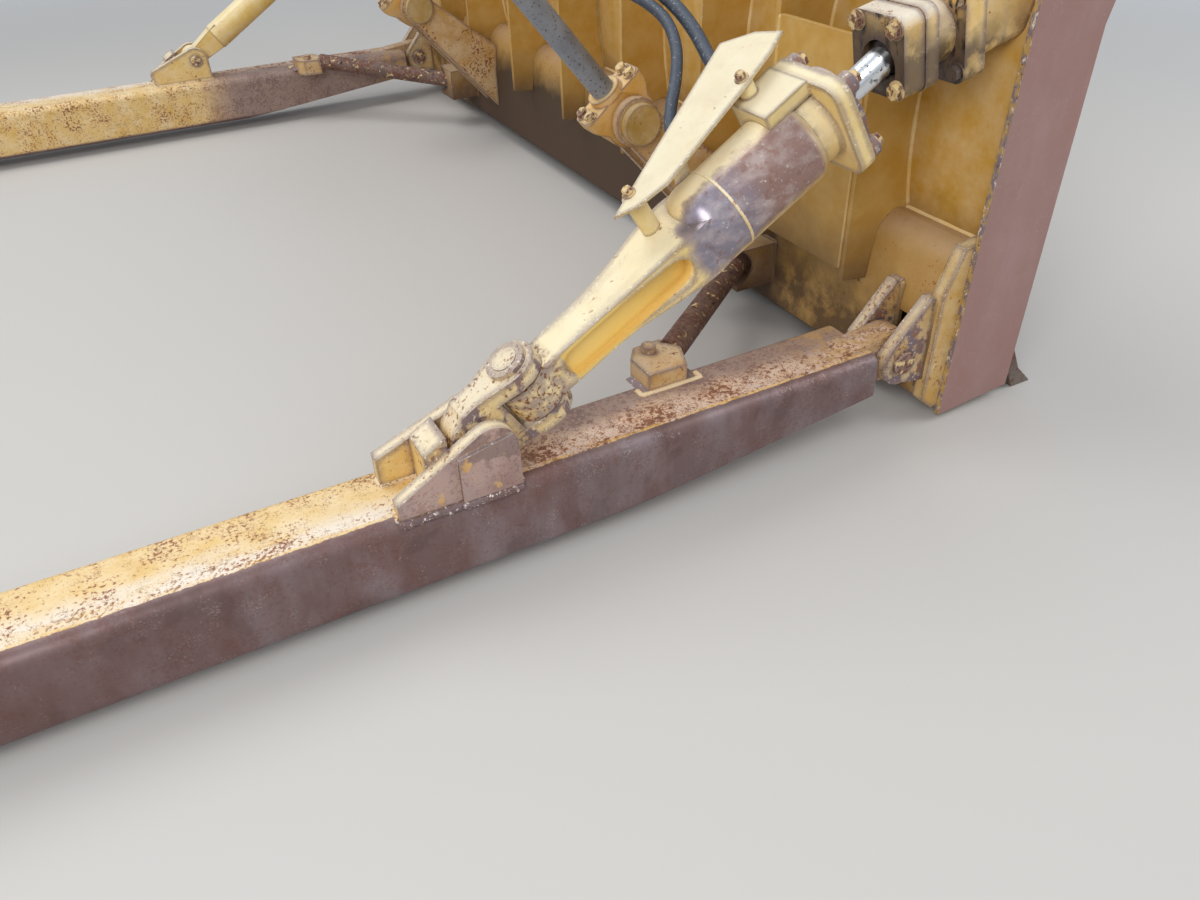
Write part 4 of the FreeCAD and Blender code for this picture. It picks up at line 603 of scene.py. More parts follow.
@dataclass(frozen=True)
class HousingEnamel:
    """Ball housing: enamel that grease from the ball has blackened round the rod."""

    name: str
    frame: "TiltFrame"

    def make(self) -> Material:
        """The finished material."""
        coat = Enamel(self.name, "#DDB14E", "#D9D2C4", 0.9, freckles=0.72, rim_mm=22.0, knocks=0.42,
                      dust_share=0.1).coat()
        back = coat.within(coat.part(Axis.FORWARD, True), -0.45, -0.8)
        low = coat.ragged(coat.part(Axis.UP), 40, 26, 4.0)
        stained = coat.overlap(back, coat.within(low, 0.745, 0.70))
        coat.cover(stained, "#4A3A33", 0.5, share=0.85)
        down = coat.ragged(coat.part(Axis.UP), 50, 40, 6.0)
        neck = coat.overlap(coat.within(coat.part(Axis.FORWARD, True), 0.8, 0.3), coat.within(down, 0.72, 0.66),
                            coat.speckle(70, 0.44, 0.08, 5.0, seed=2.0))
        coat.cover(neck, "#4A3A31", 0.5, share=0.85)
        drops = coat.overlap(back, coat.speckle(16, 0.58, 0.05, 4.0, (1.0, 1.0, 0.4), 8.0))
        coat.cover(drops, HUES.grease, 0.3)
        return coat.finish(0.5, 0.15)


@dataclass(frozen=True)
class ScouredSkin:
    """Mouldboard: rolled wear plate, scoured bright in front by soil, shaded enamel behind."""

    name: str

    def make(self) -> Material:
        """The finished material."""
        coat = Enamel(self.name, "#BA8D33", "#C79B4A", 0.5, freckles=0.82, rim_mm=0.0, clouds=0.15, soil_and_shade_top=0.3,
                      dust_share=0.0).coat()
        front = coat.within(coat.part(Axis.FORWARD, True), 0.1, 0.4)
        ragged = coat.speckle(120, 0.42, 0.12, 6.0, seed=4.0)
        high = coat.within(coat.part(Axis.UP), 0.98, 0.72)
        bare = coat.overlap(front, coat.node("Math", {"operation": "MAXIMUM"}, {0: high, 1: ragged}))
        coat.cover(bare, "#8D8379", 0.38, 0.85, -0.6)
        lines = coat.speckle(20, 0.52, 0.1, 5.0, (1.0, 2.5, 0.25), 3.0)
        coat.cover(coat.overlap(bare, lines), "#A89E92", 0.3, 0.9)
        stains = coat.speckle(60, 0.57, 0.1, 6.0)
        coat.cover(coat.overlap(bare, stains), "#75553F", 0.7, 0.2)
        return coat.finish(0.4, 0.25)


@dataclass(frozen=True)
class BoxEnamel(Enamel):
    """Lower box: shaded enamel, nearly black low down between the arms with oily soil and painted shade."""

    def make(self) -> Material:
        """The finished material."""
        coat = self.coat()
        low = coat.ragged(coat.part(Axis.UP), 110, 50, 2.0)
        inner = coat.ragged(coat.outward(), 110, 50, 5.0)
        # Nearly black low down between the arms: painted shade there, together with oily soil.
        coat.cover(coat.overlap(coat.within(low, 0.24, 0.15), coat.within(inner, 1.12, 1.02)), "#2E2119", 0.75,
                   share=0.92)
        # Speckled dark brown at the foot: soil, and painted shade.
        coat.cover(coat.overlap(coat.within(low, 0.14, 0.04), coat.speckle(60, 0.44, 0.1, 6.0)), "#4A3526", 0.8,
                   share=0.8)
        return coat.finish(0.4, 0.15)


@dataclass(frozen=True)
class GroundEdge:
    """Cutting edge: hardened flat bar, ground bright by soil along its foot and rusty above."""

    name: str

    def make(self) -> Material:
        """The finished material."""
        coat = Coat(self.name, "#6B5348", 0.6, 0.5)
        coat.mottle("#4C3730", 70, 0.8)
        coat.cover(coat.within(coat.part(Axis.UP), -0.02, -0.11), "#8A8178", 0.35, 0.9)
        coat.cover(coat.speckle(20, 0.56, 0.07, 6.0), HUES.rust, 0.8)
        coat.cover(coat.edges(5), "#9B938A", 0.3, 0.9)
        return coat.finish(0.5, 0.3)


@dataclass(frozen=True)
class HardChrome:
    """Hard chrome on a ground rod: bright, with dull rust spots and old grease near the ball."""

    name: str
    frame: "TiltFrame"

    def make(self) -> Material:
        """The finished material."""
        coat = Coat(self.name, "#DDE0E4", 0.24, 1.0)
        coat.cover(coat.speckle(16, 0.6, 0.04, 5.0), "#8B8C90", 0.4, 0.7, -0.3)
        coat.cover(coat.speckle(8, 0.62, 0.02, 4.0, seed=3.0), "#3F342E", 0.6, 0.2, -0.5)
        far = coat.ragged(coat.along(self.frame.along, self.frame.origin), 20, 8, 4.0)
        coat.cover(coat.within(far, 0.918, 0.928), HUES.grease, 0.3)
        return coat.finish(0.1)


@dataclass(frozen=True)
class DustyRod:
    """Lift rod: dulled chrome under a film of grey dust."""

    name: str

    def make(self) -> Material:
        """The finished material."""
        coat = Coat(self.name, "#80858F", 0.36, 0.7)
        coat.cover(coat.speckle(70, 0.5, 0.2, 4.0), "#93959A", 0.55, 0.3)
        coat.cover(coat.speckle(6, 0.62, 0.03, 4.0), "#453F3B", 0.7)
        return coat.finish(0.05)


@dataclass(frozen=True)
class RustySteel:
    """Bare forged steel: brown rust, grey where it is rubbed, and some old grease or paint."""

    name: str
    base: str = "#6B4A3E"
    rubbed: str = "#9C8A82"
    paint: float = 0.7
    grease: float = 0.58

    def make(self) -> Material:
        """The finished material."""
        coat = Coat(self.name, self.base, 0.62, 0.35)
        coat.mottle("#8A6A5C", 40, 0.6, 1.0)
        coat.cover(coat.speckle(8, 0.52, 0.06, 6.0, swarm=0.3), HUES.rust, 0.8, 0.0, -0.3)
        coat.cover(coat.speckle(18, self.paint, 0.03, 7.0, seed=4.0), "#D8BC84", 0.6, 0.0, 0.4)
        coat.cover(coat.speckle(24, self.grease, 0.05, 5.0, seed=2.0), HUES.grease, 0.4, 0.1)
        coat.cover(coat.edges(4, 0.4), self.rubbed, 0.45, 0.5)
        return coat.finish(0.5, 0.1)


@dataclass(frozen=True)
class HoseRubber:
    """Hydraulic hose cover: black chloroprene rubber, dull and grey-blue, with a paler blue-grey top of dust and
    painted sheen.
    """

    name: str

    def make(self) -> Material:
        """The finished material."""
        coat = Coat(self.name, "#262B35", 0.5)
        # Faces that look up go paler blue-grey: dust together with a painted sheen of the overhead light.
        coat.cover(coat.within(coat.part(Axis.UP, True), 0.0, 1.0), "#6B7787", 0.65, share=0.3)
        coat.mottle("#3B4350", 22, 0.6)
        coat.cover(coat.speckle(5, 0.64, 0.03, 4.0), "#8B8F93", 0.8)
        return coat.finish(0.2)


# Surfaces worked out as arrays


@dataclass(frozen=True)
class TiltFrame:
    """The tilt cylinder's own frame, from the lug pin to the ball."""

    origin: Array
    ball: Array

    @property
    def along(self) -> Array:
        """The direction from the pin to the ball."""
        return (self.ball - self.origin) / np.linalg.norm(self.ball - self.origin)

    @property
    def side(self) -> Array:
        """The direction to the left."""
        return np.array((0.0, 1.0, 0.0))

    @property
    def up(self) -> Array:
        """The direction square to both."""
        return np.cross(self.along, self.side)

    def place(self, rows: Array) -> Array:
        """Points in metres from rows of millimetres along, to the side and up."""
        rows = np.asarray(rows, float) * MM
        return self.origin + rows @ np.array((self.along, self.side, self.up))


@dataclass(frozen=True)
class Surface:
    """A surface in metres: its points, its four-sided faces and its flat ends."""

    points: Array
    quads: Array
    ends: tuple[Array, ...] = ()

    def mirrored(self) -> "Surface":
        """The same surface on the blade's other side, turned right side out."""
        points = self.points * (1.0, -1.0, 1.0) + (0.0, 2 * MIDDLE * MM, 0.0)
        return Surface(points, self.quads[:, ::-1], tuple(end[::-1] for end in self.ends))


def merged(surfaces: list[Surface]) -> Surface:
    """Several surfaces as one."""
    starts = np.cumsum([0] + [len(one.points) for one in surfaces[:-1]])
    return Surface(
        np.concatenate([one.points for one in surfaces]),
        np.concatenate([one.quads + start for one, start in zip(surfaces, starts)]),
        tuple(end + start for one, start in zip(surfaces, starts) for end in one.ends))


def grid(points: Array, loop: bool = False) -> Surface:
    """A surface from a grid of points, closed round each row.

    Args:
        points: Rows of points along the surface; each row goes once round it.
        loop: Whether the last row joins the first. If not, both ends get a flat face.

    Returns:
        The surface.
    """
    rows, cols = points.shape[:2]
    index = np.arange(rows * cols).reshape(rows, cols)
    near = index if loop else index[:-1]
    far = np.roll(index, -1, 0) if loop else index[1:]
    quads = np.stack([near, np.roll(near, -1, 1), np.roll(far, -1, 1), far], -1).reshape(-1, 4)
    ends = () if loop else (index[0, ::-1], index[-1])
    return Surface(points.reshape(-1, 3), quads, ends)


def carried(path: Array, profile: Array, out: Array, scale: Array, loop: bool = False) -> Surface:
    """A closed profile carried along a path.

    Point (i, j) is path point i, plus the profile's first number along the outward direction
    made square to the path, plus its second along the cross product of the path's direction
    and that, both times the scale at i.

    Args:
        path: Points of the path.
        profile: Points round the profile, as pairs.
        out: The outward direction, one or one for each point of the path.
        scale: The size of the profile at each point of the path.
        loop: Whether the path is closed.

    Returns:
        The surface.
    """
    ahead = np.roll(path, -1, 0) - np.roll(path, 1, 0) if loop else np.gradient(path, axis=0)
    ahead /= np.linalg.norm(ahead, axis=1, keepdims=True)
    lift = out - np.sum(out * ahead, axis=1, keepdims=True) * ahead
    lift /= np.linalg.norm(lift, axis=1, keepdims=True)
    side = np.cross(ahead, lift)
    points = path[:, None] + scale[:, None, None] * (
        profile[None, :, :1] * lift[:, None] + profile[None, :, 1:] * side[:, None])
    return grid(points, loop)


def evenly(route: Array, step: float) -> tuple[Array, Array]:
    """Points an even step apart along a broken line, and their distances along it."""
    runs = np.linalg.norm(np.diff(route, axis=0), axis=1)
    marks = np.concatenate(([0.0], np.cumsum(runs)))
    far = np.linspace(0.0, marks[-1], max(4, int(marks[-1] / step)))
    return np.stack([np.interp(far, marks, route[:, k]) for k in range(3)], -1), far


def bead(route_mm: list, out: tuple, wide_mm: float = 5.0, tall_mm: float = 4.0) -> Surface:
    """A weld bead along a seam.

    Its section is an ellipse. Its size swells and shrinks as a sine of the distance along it,
    once for each drop of weld metal and more slowly with the welder's hand, and it tapers at
    both ends.

    Args:
        route_mm: Corners of the seam, in millimetres.
        out: The direction that the bead faces.
        wide_mm: Half its width.
        tall_mm: Half its height.

    Returns:
        The surface.
    """
    path, far = evenly(np.array(route_mm, float) * MM, 3.0 * MM)
    drop_mm, hand_mm = 8.0, 83.0
    swell = 1 + 0.1 * np.sin(far / (drop_mm * MM) * 2 * math.pi)
    swell += 0.08 * np.sin(far / (hand_mm * MM) * 2 * math.pi + 1.3)
    swell *= np.clip(np.minimum(far, far[-1] - far) / (5 * MM) + 0.3, 0.3, 1.0)
    turn = np.linspace(0, 2 * math.pi, 8, endpoint=False)
    profile = np.stack([tall_mm * np.cos(turn), wide_mm * np.sin(turn)], -1) * MM
    return carried(path, profile, np.array(out, float), swell)


def turned(profile_mm: Array, centre: Array, axis: Array, sides: int = 32) -> Surface:
    """A profile turned round an axis.

    Point (i, j) is the centre, plus the profile's height i along the axis, plus its radius i
    in the direction of turn j.

    Args:
        profile_mm: Rows of radius and height, from the lower end to the upper.
        centre: Where the height is 0, in metres.
        axis: The direction of the axis.
        sides: How many steps the turn has.

    Returns:
        The surface.
    """
    rows = np.asarray(profile_mm, float) * MM
    axis = np.asarray(axis, float) / np.linalg.norm(axis)
    helper = np.array((1.0, 0, 0)) if abs(axis[0]) < 0.8 else np.array((0, 1.0, 0))
    one = np.cross(axis, helper)
    one /= np.linalg.norm(one)
    two = np.cross(axis, one)
    turn = np.linspace(0, 2 * math.pi, sides, endpoint=False)
    way = np.cos(turn)[:, None] * one + np.sin(turn)[:, None] * two
    return grid(centre + rows[:, 1, None, None] * axis + rows[:, 0, None, None] * way)


def bolt_head(centre: Array, axis: Array, across_mm: float, tall_mm: float) -> list[Surface]:
    """A hexagon head on a round washer."""
    washer = turned([(across_mm * 0.78, 0), (across_mm * 0.78, 2.6), (across_mm * 0.72, 3.2)], centre, axis)
    rad = across_mm * 0.577
    head = turned([(rad, 2), (rad, 2 + tall_mm * 0.82), (rad * 0.86, 2 + tall_mm)], centre, axis, 6)
    return [washer, head]


# What every sub-assembly can do


@dataclass
class Assembly:
    """A sub-assembly: it dresses its nodes and adds pieces that ride with them."""

    frame: dict

    def dress(self, node_name: str, material: Material, bevel_mm: float = 2.5,
              zones: tuple[tuple[Material, Test], ...] = ()) -> Piece:
        """A finished copy of a CAD piece, with merged corners and rounded sharp edges.

        Args:
            node_name: The CAD piece.
            material: Its finish.
            bevel_mm: The size of the round.
            zones: Other finishes, each with a test of its faces' middles and normals.

        Returns:
            The copy, which replaces the CAD piece and rides on its body.
        """
        node = self.frame["nodes"][node_name]
        shape = bmesh.new()
        shape.from_mesh(node.data)
        bmesh.ops.remove_doubles(shape, verts=shape.verts, dist=0.00002)
        bmesh.ops.dissolve_limit(shape, angle_limit=math.radians(0.8), verts=shape.verts, edges=shape.edges)
        name = node_name.replace("_", "-")
        mesh = bpy.data.meshes.new(name)
        shape.to_mesh(mesh)
        shape.free()
        mesh.shade_smooth()
        mesh.set_sharp_from_angle(angle=math.radians(32))
        mesh.materials.clear()
        mesh.materials.append(material)
        count = len(mesh.polygons)
        middles, normals = np.empty(count * 3), np.empty(count * 3)
        mesh.polygons.foreach_get("center", middles)
        mesh.polygons.foreach_get("normal", normals)
        chosen = np.zeros(count, dtype=np.int32)
        for number, (other, test) in enumerate(zones, start=1):
            mesh.materials.append(other)
            chosen[test(middles.reshape(-1, 3) / MM, normals.reshape(-1, 3))] = number
        mesh.polygons.foreach_set("material_index", chosen)
        copy = bpy.data.objects.new(name, mesh)
        bpy.context.scene.collection.objects.link(copy)
        if bevel_mm:
            bevel = copy.modifiers.new("rounded edges", "BEVEL")
            bevel.width = bevel_mm * MM
            bevel.segments = 2
            bevel.limit_method = "ANGLE"
            bevel.angle_limit = math.radians(32)
            bevel.harden_normals = True
        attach(copy, node["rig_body"])
        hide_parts(node_name)
        LOG.info("dressed %s", node_name)
        return copy

    def add(self, name: str, body: str, slot: Slot, surfaces: list[Surface], material: Material,
            sharp_deg: float = 180.0) -> Piece:
        """Adds a piece made of surfaces.

        Args:
            name: Its name.
            body: The body that it rides on.
            slot: The record's material slot; not used.
            surfaces: Its surfaces.
            material: Its finish.
            sharp_deg: The angle from which an edge stays sharp.

        Returns:
            The piece.
        """
        whole = merged(surfaces)
        mesh = bpy.data.meshes.new(name)
        mesh.from_pydata(whole.points.tolist(), [], whole.quads.tolist() + [end.tolist() for end in whole.ends])
        mesh.shade_smooth()
        if sharp_deg < 180.0:
            mesh.set_sharp_from_angle(angle=math.radians(sharp_deg))
        mesh.materials.append(material)
        piece = bpy.data.objects.new(name, mesh)
        bpy.context.scene.collection.objects.link(piece)
        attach(piece, body)
        LOG.info("added %s, %d faces", name, len(mesh.polygons))
        return piece


@dataclass
class PushArms(Assembly):
    """The two push arms with their sockets, caps, lugs and pins."""

    arm_half: float = 86.0
    arm_top: float = 84.0
    arm_nose: float = 2527.0
    lug_rear: float = 1511.0
    lug_front: float = 1731.0
    lug_outer: tuple[float, float] = (-80.0, -52.0)
    lug_inner: tuple[float, float] = (22.0, 50.0)
    doubler_rear: float = 1620.6
    socket_half: float = 75.0
    socket_end: float = 78.0

    def seams(self) -> list[Surface]:
        """Weld beads of the right arm: round the lugs, the bracket's foot, the socket and the tip."""
        top, rear, front = self.arm_top, self.lug_rear, self.lug_front
        out0, out1 = self.lug_outer
        in0, in1 = self.lug_inner
        up = (0, 0, 1)
        half, end = self.socket_half + 1, self.socket_end - 1
        rows = [
            ([(rear - 2, in0, top), (front + 2, in0, top)], (0, -1, 1), 6, 5),
            ([(rear - 2, in1, top), (front + 2, in1, top)], (0, 1, 1), 6, 5),
            ([(front + 1, in0, top), (front + 1, in1, top)], (1, 0, 1), 6, 5),
            ([(rear - 1, in1, top), (rear - 1, in0, top)], (-1, 0, 1), 6, 5),
            ([(rear - 1, out0, top - 9), (rear - 1, out1 - 8, top - 1), (rear - 1, out1, top),
              (front + 1, out1, top), (front + 1, out1 - 8, top - 1), (front + 1, out0 - 2, top - 10)], up, 6, 5),
            ([(rear, out0 - 1, top - 10), (self.doubler_rear, out0 - 1, top - 10),
              (self.doubler_rear, out0 - 6, top - 9), (front + 1, out0 - 6, top - 9)], (0, -1, 0.6), 9, 7),
            ([(1573, out1, top), (1573, in0, top)], (-1, 0, 1), 6, 5),
            ([(2174, 62, top), (2174, 38, top), (2040, 38, top), (2040, 62, top)], up, 6, 4),
            ([(end, -half, -top + 4), (end, -half, top - 4), (end, -half + 4, top), (end, half - 4, top),
              (end, half, top - 4), (end, half, -top + 4)], (1, 0, 0.2), 8, 6),
            ([(self.arm_nose, -50, 8), (self.arm_nose, -50, top - 2)], (1, -1, 0), 7, 6),
            ([(self.arm_nose, 12, 8), (self.arm_nose, 12, top - 2)], (1, 1, 0), 7, 6),
        ]
        return [bead(*row) for row in rows]

    def build(self, arm: Material, lugs: Material, enamel: Material, pins: Material, weld: Material) -> None:
        """Dresses both arms and lays their seams.

        Args:
            arm: Finish of the arms.
            lugs: Finish of the lugs.
            enamel: Finish of the sockets and caps.
            pins: Finish of the pins.
            weld: Finish of the seams.
        """
        for side in ("right", "left"):
            self.dress(side + "_push_arm", arm, 1.5)
            self.dress(side + "_trunnion_socket", enamel, 3.0)
            self.dress(side + "_trunnion_cap", enamel, 2.0)
        self.dress("right_tilt_lugs", lugs, 3.0)
        self.dress("left_brace_lugs", lugs, 3.0)
        self.dress("tilt_lug_pin", pins, 2.0)
        self.dress("left_lug_pin", pins, 2.0)
        seams = self.seams()
        self.add("right-arm-seams", "right_arm", Slot.PAINT, seams, weld)
        self.add("left-arm-seams", "left_arm", Slot.PAINT, [one.mirrored() for one in seams], weld)


@dataclass
class TiltCylinder(Assembly):
    """The link, barrel, gland, rod, ports and guard of the tilt cylinder."""

    tilt: TiltFrame
    tube_end: float = 777.94
    shank_end: float = 477.94
    gland_face: float = 841.94
    rod_rad: float = 26.0
    tube_rad: float = 78.0
    guard_top: float = 130.0

    def seal(self) -> Surface:
        """The wiper lip round the rod: a rounded ring, turned about the cylinder's axis."""
        rad = self.rod_rad
        ring = [(rad + 0.7, 0), (rad + 9, 0), (rad + 9, 2.5), (rad + 6, 5), (rad + 2.5, 6), (rad + 0.7, 4)]
        return turned(ring, self.tilt.place([[self.gland_face - 0.5, 0, 0]])[0], self.tilt.along, 40)

    def tube_seam(self) -> Surface:
        """The flat bead round the tube where its rear end is welded on."""
        far = self.shank_end + 84
        turn = np.linspace(0, 2 * math.pi, 160, endpoint=False)
        way = np.stack([np.zeros_like(turn), np.cos(turn), np.sin(turn)], -1)
        path = self.tilt.place(way * self.tube_rad + (far, 0, 0))
        out = self.tilt.place(way) - self.tilt.origin
        section = np.linspace(0, 2 * math.pi, 8, endpoint=False)
        profile = np.stack([1.2 * np.cos(section), 2.8 * np.sin(section)], -1) * MM
        swell = 1 + 0.12 * np.sin(turn * 60)
        return carried(path, profile, out, swell, loop=True)

    def guard_bolts(self) -> list[Surface]:
        """The two hexagon bolts that hold the guard on its posts."""
        spots = self.tilt.place([(self.tube_end - 62, 50, self.guard_top), (self.shank_end - 30, 26, self.guard_top)])
        return [one for spot in spots for one in bolt_head(spot, self.tilt.up, 16.0, 11.0)]

    def build(self, barrel: Material, link: Material, gland: Material, enamel: Material, chrome: Material,
              bolts: Material, weld: Material, rubber: Material) -> None:
        """Dresses the cylinder and adds its seal, seam and bolts.

        Args:
            barrel: Finish of the barrel.
            link: Finish of the link and its pin.
            gland: Finish of the gland.
            enamel: Finish of the ports and the guard.
            chrome: Finish of the rod.
            bolts: Finish of the bolts.
            weld: Finish of the seam.
            rubber: Finish of the seal.
        """
        self.dress("tilt_link", link, 6.0)
        self.dress("fork_pin", link, 2.5)
        self.dress("tilt_barrel", barrel, 3.0)
        self.dress("tilt_gland", gland, 2.5)
        self.dress("tilt_gland_bolts", bolts, 1.0)
        self.dress("tilt_rod", chrome, 0.0)
        self.dress("hose_ports", enamel, 2.5)
        self.dress("hose_guard", enamel, 1.2)
        self.add("rod-wiper", "tilt_barrel", Slot.PIN, [self.seal()], rubber, 40.0)
        self.add("tube-seam", "tilt_barrel", Slot.PAINT, [self.tube_seam()], weld)
        self.add("guard-bolts", "tilt_barrel", Slot.PIN, self.guard_bolts(), bolts, 30.0)


@dataclass
class TiltHoses(Assembly):
    """The two hydraulic hoses from the ports, their couplings and the clip that ties them."""

    tilt: TiltFrame
    tube_end: float = 777.94
    thick_front: float = 26.0
    thick_rear: float = 22.0
    long_front: float = 495.0
    long_rear: float = 558.0
    route_front: tuple = ((-50, 92, 80), (-50, 150, 87), (-28, 212, 102), (-1, 276, 121), (17, 345, 146),
                          (23, 420, 172), (25, 495, 190), (24, 560, 197))
    route_rear: tuple = ((-210, 92, 72), (-188, 132, 88), (-150, 172, 103), (-98, 214, 114), (-47, 270, 128),
                         (-12, 342, 144), (-6, 420, 166), (-14, 496, 186), (-24, 562, 199))

    def hose(self, name: str, node_name: str, route: tuple, thick: float, long: float, couplings: Piece,
             material: Material) -> Piece:
        """A hose on a smooth line through its route.

        Args:
            name: Its name.
            node_name: The CAD piece that it replaces.
            route: Its points, from the front end of the cylinder's tube.
            thick: Its diameter.
            long: Its length.
            couplings: The fittings on its far end; not used.
            material: Its finish.

        Returns:
            The hose.
        """
        spots = self.tilt.place(np.array(route, float) + (self.tube_end, 0, 0))
        curve = bpy.data.curves.new(name, "CURVE")
        curve.dimensions = "3D"
        line = curve.splines.new("NURBS")
        line.points.add(len(spots) - 1)
        line.points.foreach_set("co", np.concatenate([spots, np.ones((len(spots), 1))], 1).ravel())
        line.order_u = 3
        line.use_endpoint_u = True
        line.resolution_u = 12
        curve.bevel_depth = thick / 2 * MM
        curve.bevel_resolution = 6
        curve.use_fill_caps = True
        curve.materials.append(material)
        piece = bpy.data.objects.new(name, curve)
        bpy.context.scene.collection.objects.link(piece)
        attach(piece, "tilt_barrel")
        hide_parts(node_name)
        LOG.info("hose %s, %.0f mm", name, long)
        return piece

    def clip(self) -> Surface:
        """The steel band round both hoses.

        Its line is a stadium: two half circles about the hoses, joined by straight sides. A flat
        section is carried along it.
        """
        one, two = self.tilt.place(np.array([(25, 490, 188), (-12, 484, 182)]) + (self.tube_end, 0, 0))
        ahead = self.tilt.place([(0, 75, 18)])[0] - self.tilt.origin
        ahead /= np.linalg.norm(ahead)
        across = two - one
        across -= np.dot(across, ahead) * ahead
        span = np.linalg.norm(across)
        across /= span
        lift = np.cross(ahead, across)
        turn = np.linspace(0, 2 * math.pi, 64, endpoint=False)
        far = np.where(np.cos(turn) > 0, span, 0.0)[:, None]
        rad = (self.thick_front / 2 + 1.5) * MM
        out = np.cos(turn)[:, None] * across + np.sin(turn)[:, None] * lift
        path = one + far * across + rad * out
        profile = np.array([(1.5, 8), (-1.5, 8), (-1.5, -8), (1.5, -8)]) * MM
        return carried(path, profile, out, np.ones(len(turn)), loop=True)

    def build(self, rubber: Material, steel: Material) -> None:
        """Lays both hoses and adds their fittings.

        Args:
            rubber: Finish of the hoses.
            steel: Finish of the couplings and the clip.
        """
        couplings = self.dress("hose_couplings", steel, 1.0)
        self.hose("front-hose", "tilt_hose_front", self.route_front, self.thick_front, self.long_front,
                  couplings, rubber)
        self.hose("rear-hose", "tilt_hose_rear", self.route_rear, self.thick_rear, self.long_rear,
                  couplings, rubber)
        self.add("hose-clip", "tilt_barrel", Slot.PIN, [self.clip()], steel, 30.0)


@dataclass
class ScrewBrace(Assembly):
    """The screw brace of the left arm: a tube with a nut, and a threaded rod with a ball."""

    tilt: TiltFrame
    rod_rad: float = 25.0
    rod_start: float = 557.94
    thread_end: float = 900.0
    ball_at: float = 971.94
    ball_rad: float = 44.0
    pitch: float = 9.0
    depth: float = 2.4

    def threaded_rod(self) -> Surface:
        """The rod and its ball.

        The radius at distance s and turn a is the rod's, less the thread's depth times a
        rounded saw wave of s over the pitch less a over one turn; beyond the thread it is
        plain, and at the ball it is the height of a circle.
        """
        shift = self.tilt.side * (2 * (MIDDLE + 15.0) * MM)
        throat = self.ball_at - math.sqrt(self.ball_rad ** 2 - self.rod_rad ** 2)
        far = np.concatenate([np.arange(self.rod_start, self.thread_end, 1.5),
                              [self.thread_end + 2, throat - 0.5],
                              self.ball_at - self.ball_rad * np.cos(np.linspace(
                                  math.asin(self.rod_rad / self.ball_rad), math.pi - 0.06, 26))])
        turn = np.linspace(0, 2 * math.pi, 28, endpoint=False)
        wave = 0.5 + 0.5 * np.cos((far[:, None] / self.pitch - turn[None, :] / (2 * math.pi)) * 2 * math.pi)
        cut = np.where(far[:, None] < self.thread_end, self.depth * wave ** 0.7, 0.0)
        rad = np.full(cut.shape, self.rod_rad) - cut
        bulge = np.sqrt(np.clip(self.ball_rad ** 2 - (far - self.ball_at) ** 2, 0.01, None))
        rad = np.where(far[:, None] >= throat - 0.1, bulge[:, None], rad)
        local = np.stack([np.broadcast_to(far[:, None], rad.shape), rad * np.cos(turn), rad * np.sin(turn)], -1)
        return grid(self.tilt.place(local) + shift)

    def build(self, enamel: Material, steel: Material) -> None:
        """Dresses the brace.

        Args:
            enamel: Finish of the tube.
            steel: Finish of the rod.
        """
        self.dress("screw_brace_tube", enamel, 3.0)
        rod = self.add("screw-rod", "screw_rod", Slot.PIN, [self.threaded_rod()], steel, 50.0)
        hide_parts("screw_brace_rod")


@dataclass
class DiagonalBraces(Assembly):
    """The round bars from the arms to the blade, their brackets and their ball housings."""

    def build(self, steel: Material, bracket: Material, housing: Material) -> None:
        """Dresses the braces.

        Args:
            steel: Finish of the bars.
            bracket: Finish of the brackets.
            housing: Finish of the housings on the blade.
        """
        for side in ("right", "left"):
            self.dress(side + "_diagonal_brace", steel, 0.0)
            self.dress(side + "_brace_bracket", bracket, 3.0)
        self.dress("brace_ball_housings", housing, 4.0)


@dataclass
class LiftCylinders(Assembly):
    """The lift cylinders' rods and barrels, with the ears and pins that hold them."""

    pin_x: float = 2388.0
    pin_z: float = 387.0
    half_spread: float = 772.0
    lean_deg: float = 39.3
    head_top: float = 73.5
    rod_rad: float = 28.0

    def measures(self, middles: Array) -> tuple[Array, Array]:
        """The distance along the cylinder from its pin, and out from its axis, in millimetres."""
        lean = math.radians(self.lean_deg)
        off = middles - (self.pin_x, 0, self.pin_z)
        far = off[:, 2] * math.cos(lean) - off[:, 0] * math.sin(lean)
        across = off[:, 0] * math.cos(lean) + off[:, 2] * math.sin(lean)
        side = np.abs(middles[:, 1] - MIDDLE) - self.half_spread
        return far, np.hypot(across, side)

    def on_rod(self, middles: Array, normals: Array) -> Array:
        """Faces of the bare rod."""
        far, out = self.measures(middles)
        return (far > self.head_top + 18) & (out < self.rod_rad + 1)

    def on_bolts(self, middles: Array, normals: Array) -> Array:
        """Faces of the head's four bolts."""
        far, out = self.measures(middles)
        return (far > self.head_top + 1) & (out > self.rod_rad + 18)

    def build(self, head: Material, rod: Material, bolts: Material, enamel: Material, ears: Material,
              pins: Material) -> None:
        """Dresses both cylinders.

        Args:
            head: Finish of the rod's split head.
            rod: Finish of the bare rod.
            bolts: Finish of the head's bolts.
            enamel: Finish of the barrels.
            ears: Finish of the ears on the blade.
            pins: Finish of the pins' discs.
        """
        for side in ("right", "left"):
            self.dress(side + "_lift_rod", head, 2.5, ((rod, self.on_rod), (bolts, self.on_bolts)))
            self.dress(side + "_lift_barrel", enamel, 3.0)
        self.dress("lift_ears", ears, 3.0)
        self.dress("lift_pins", pins, 2.5)


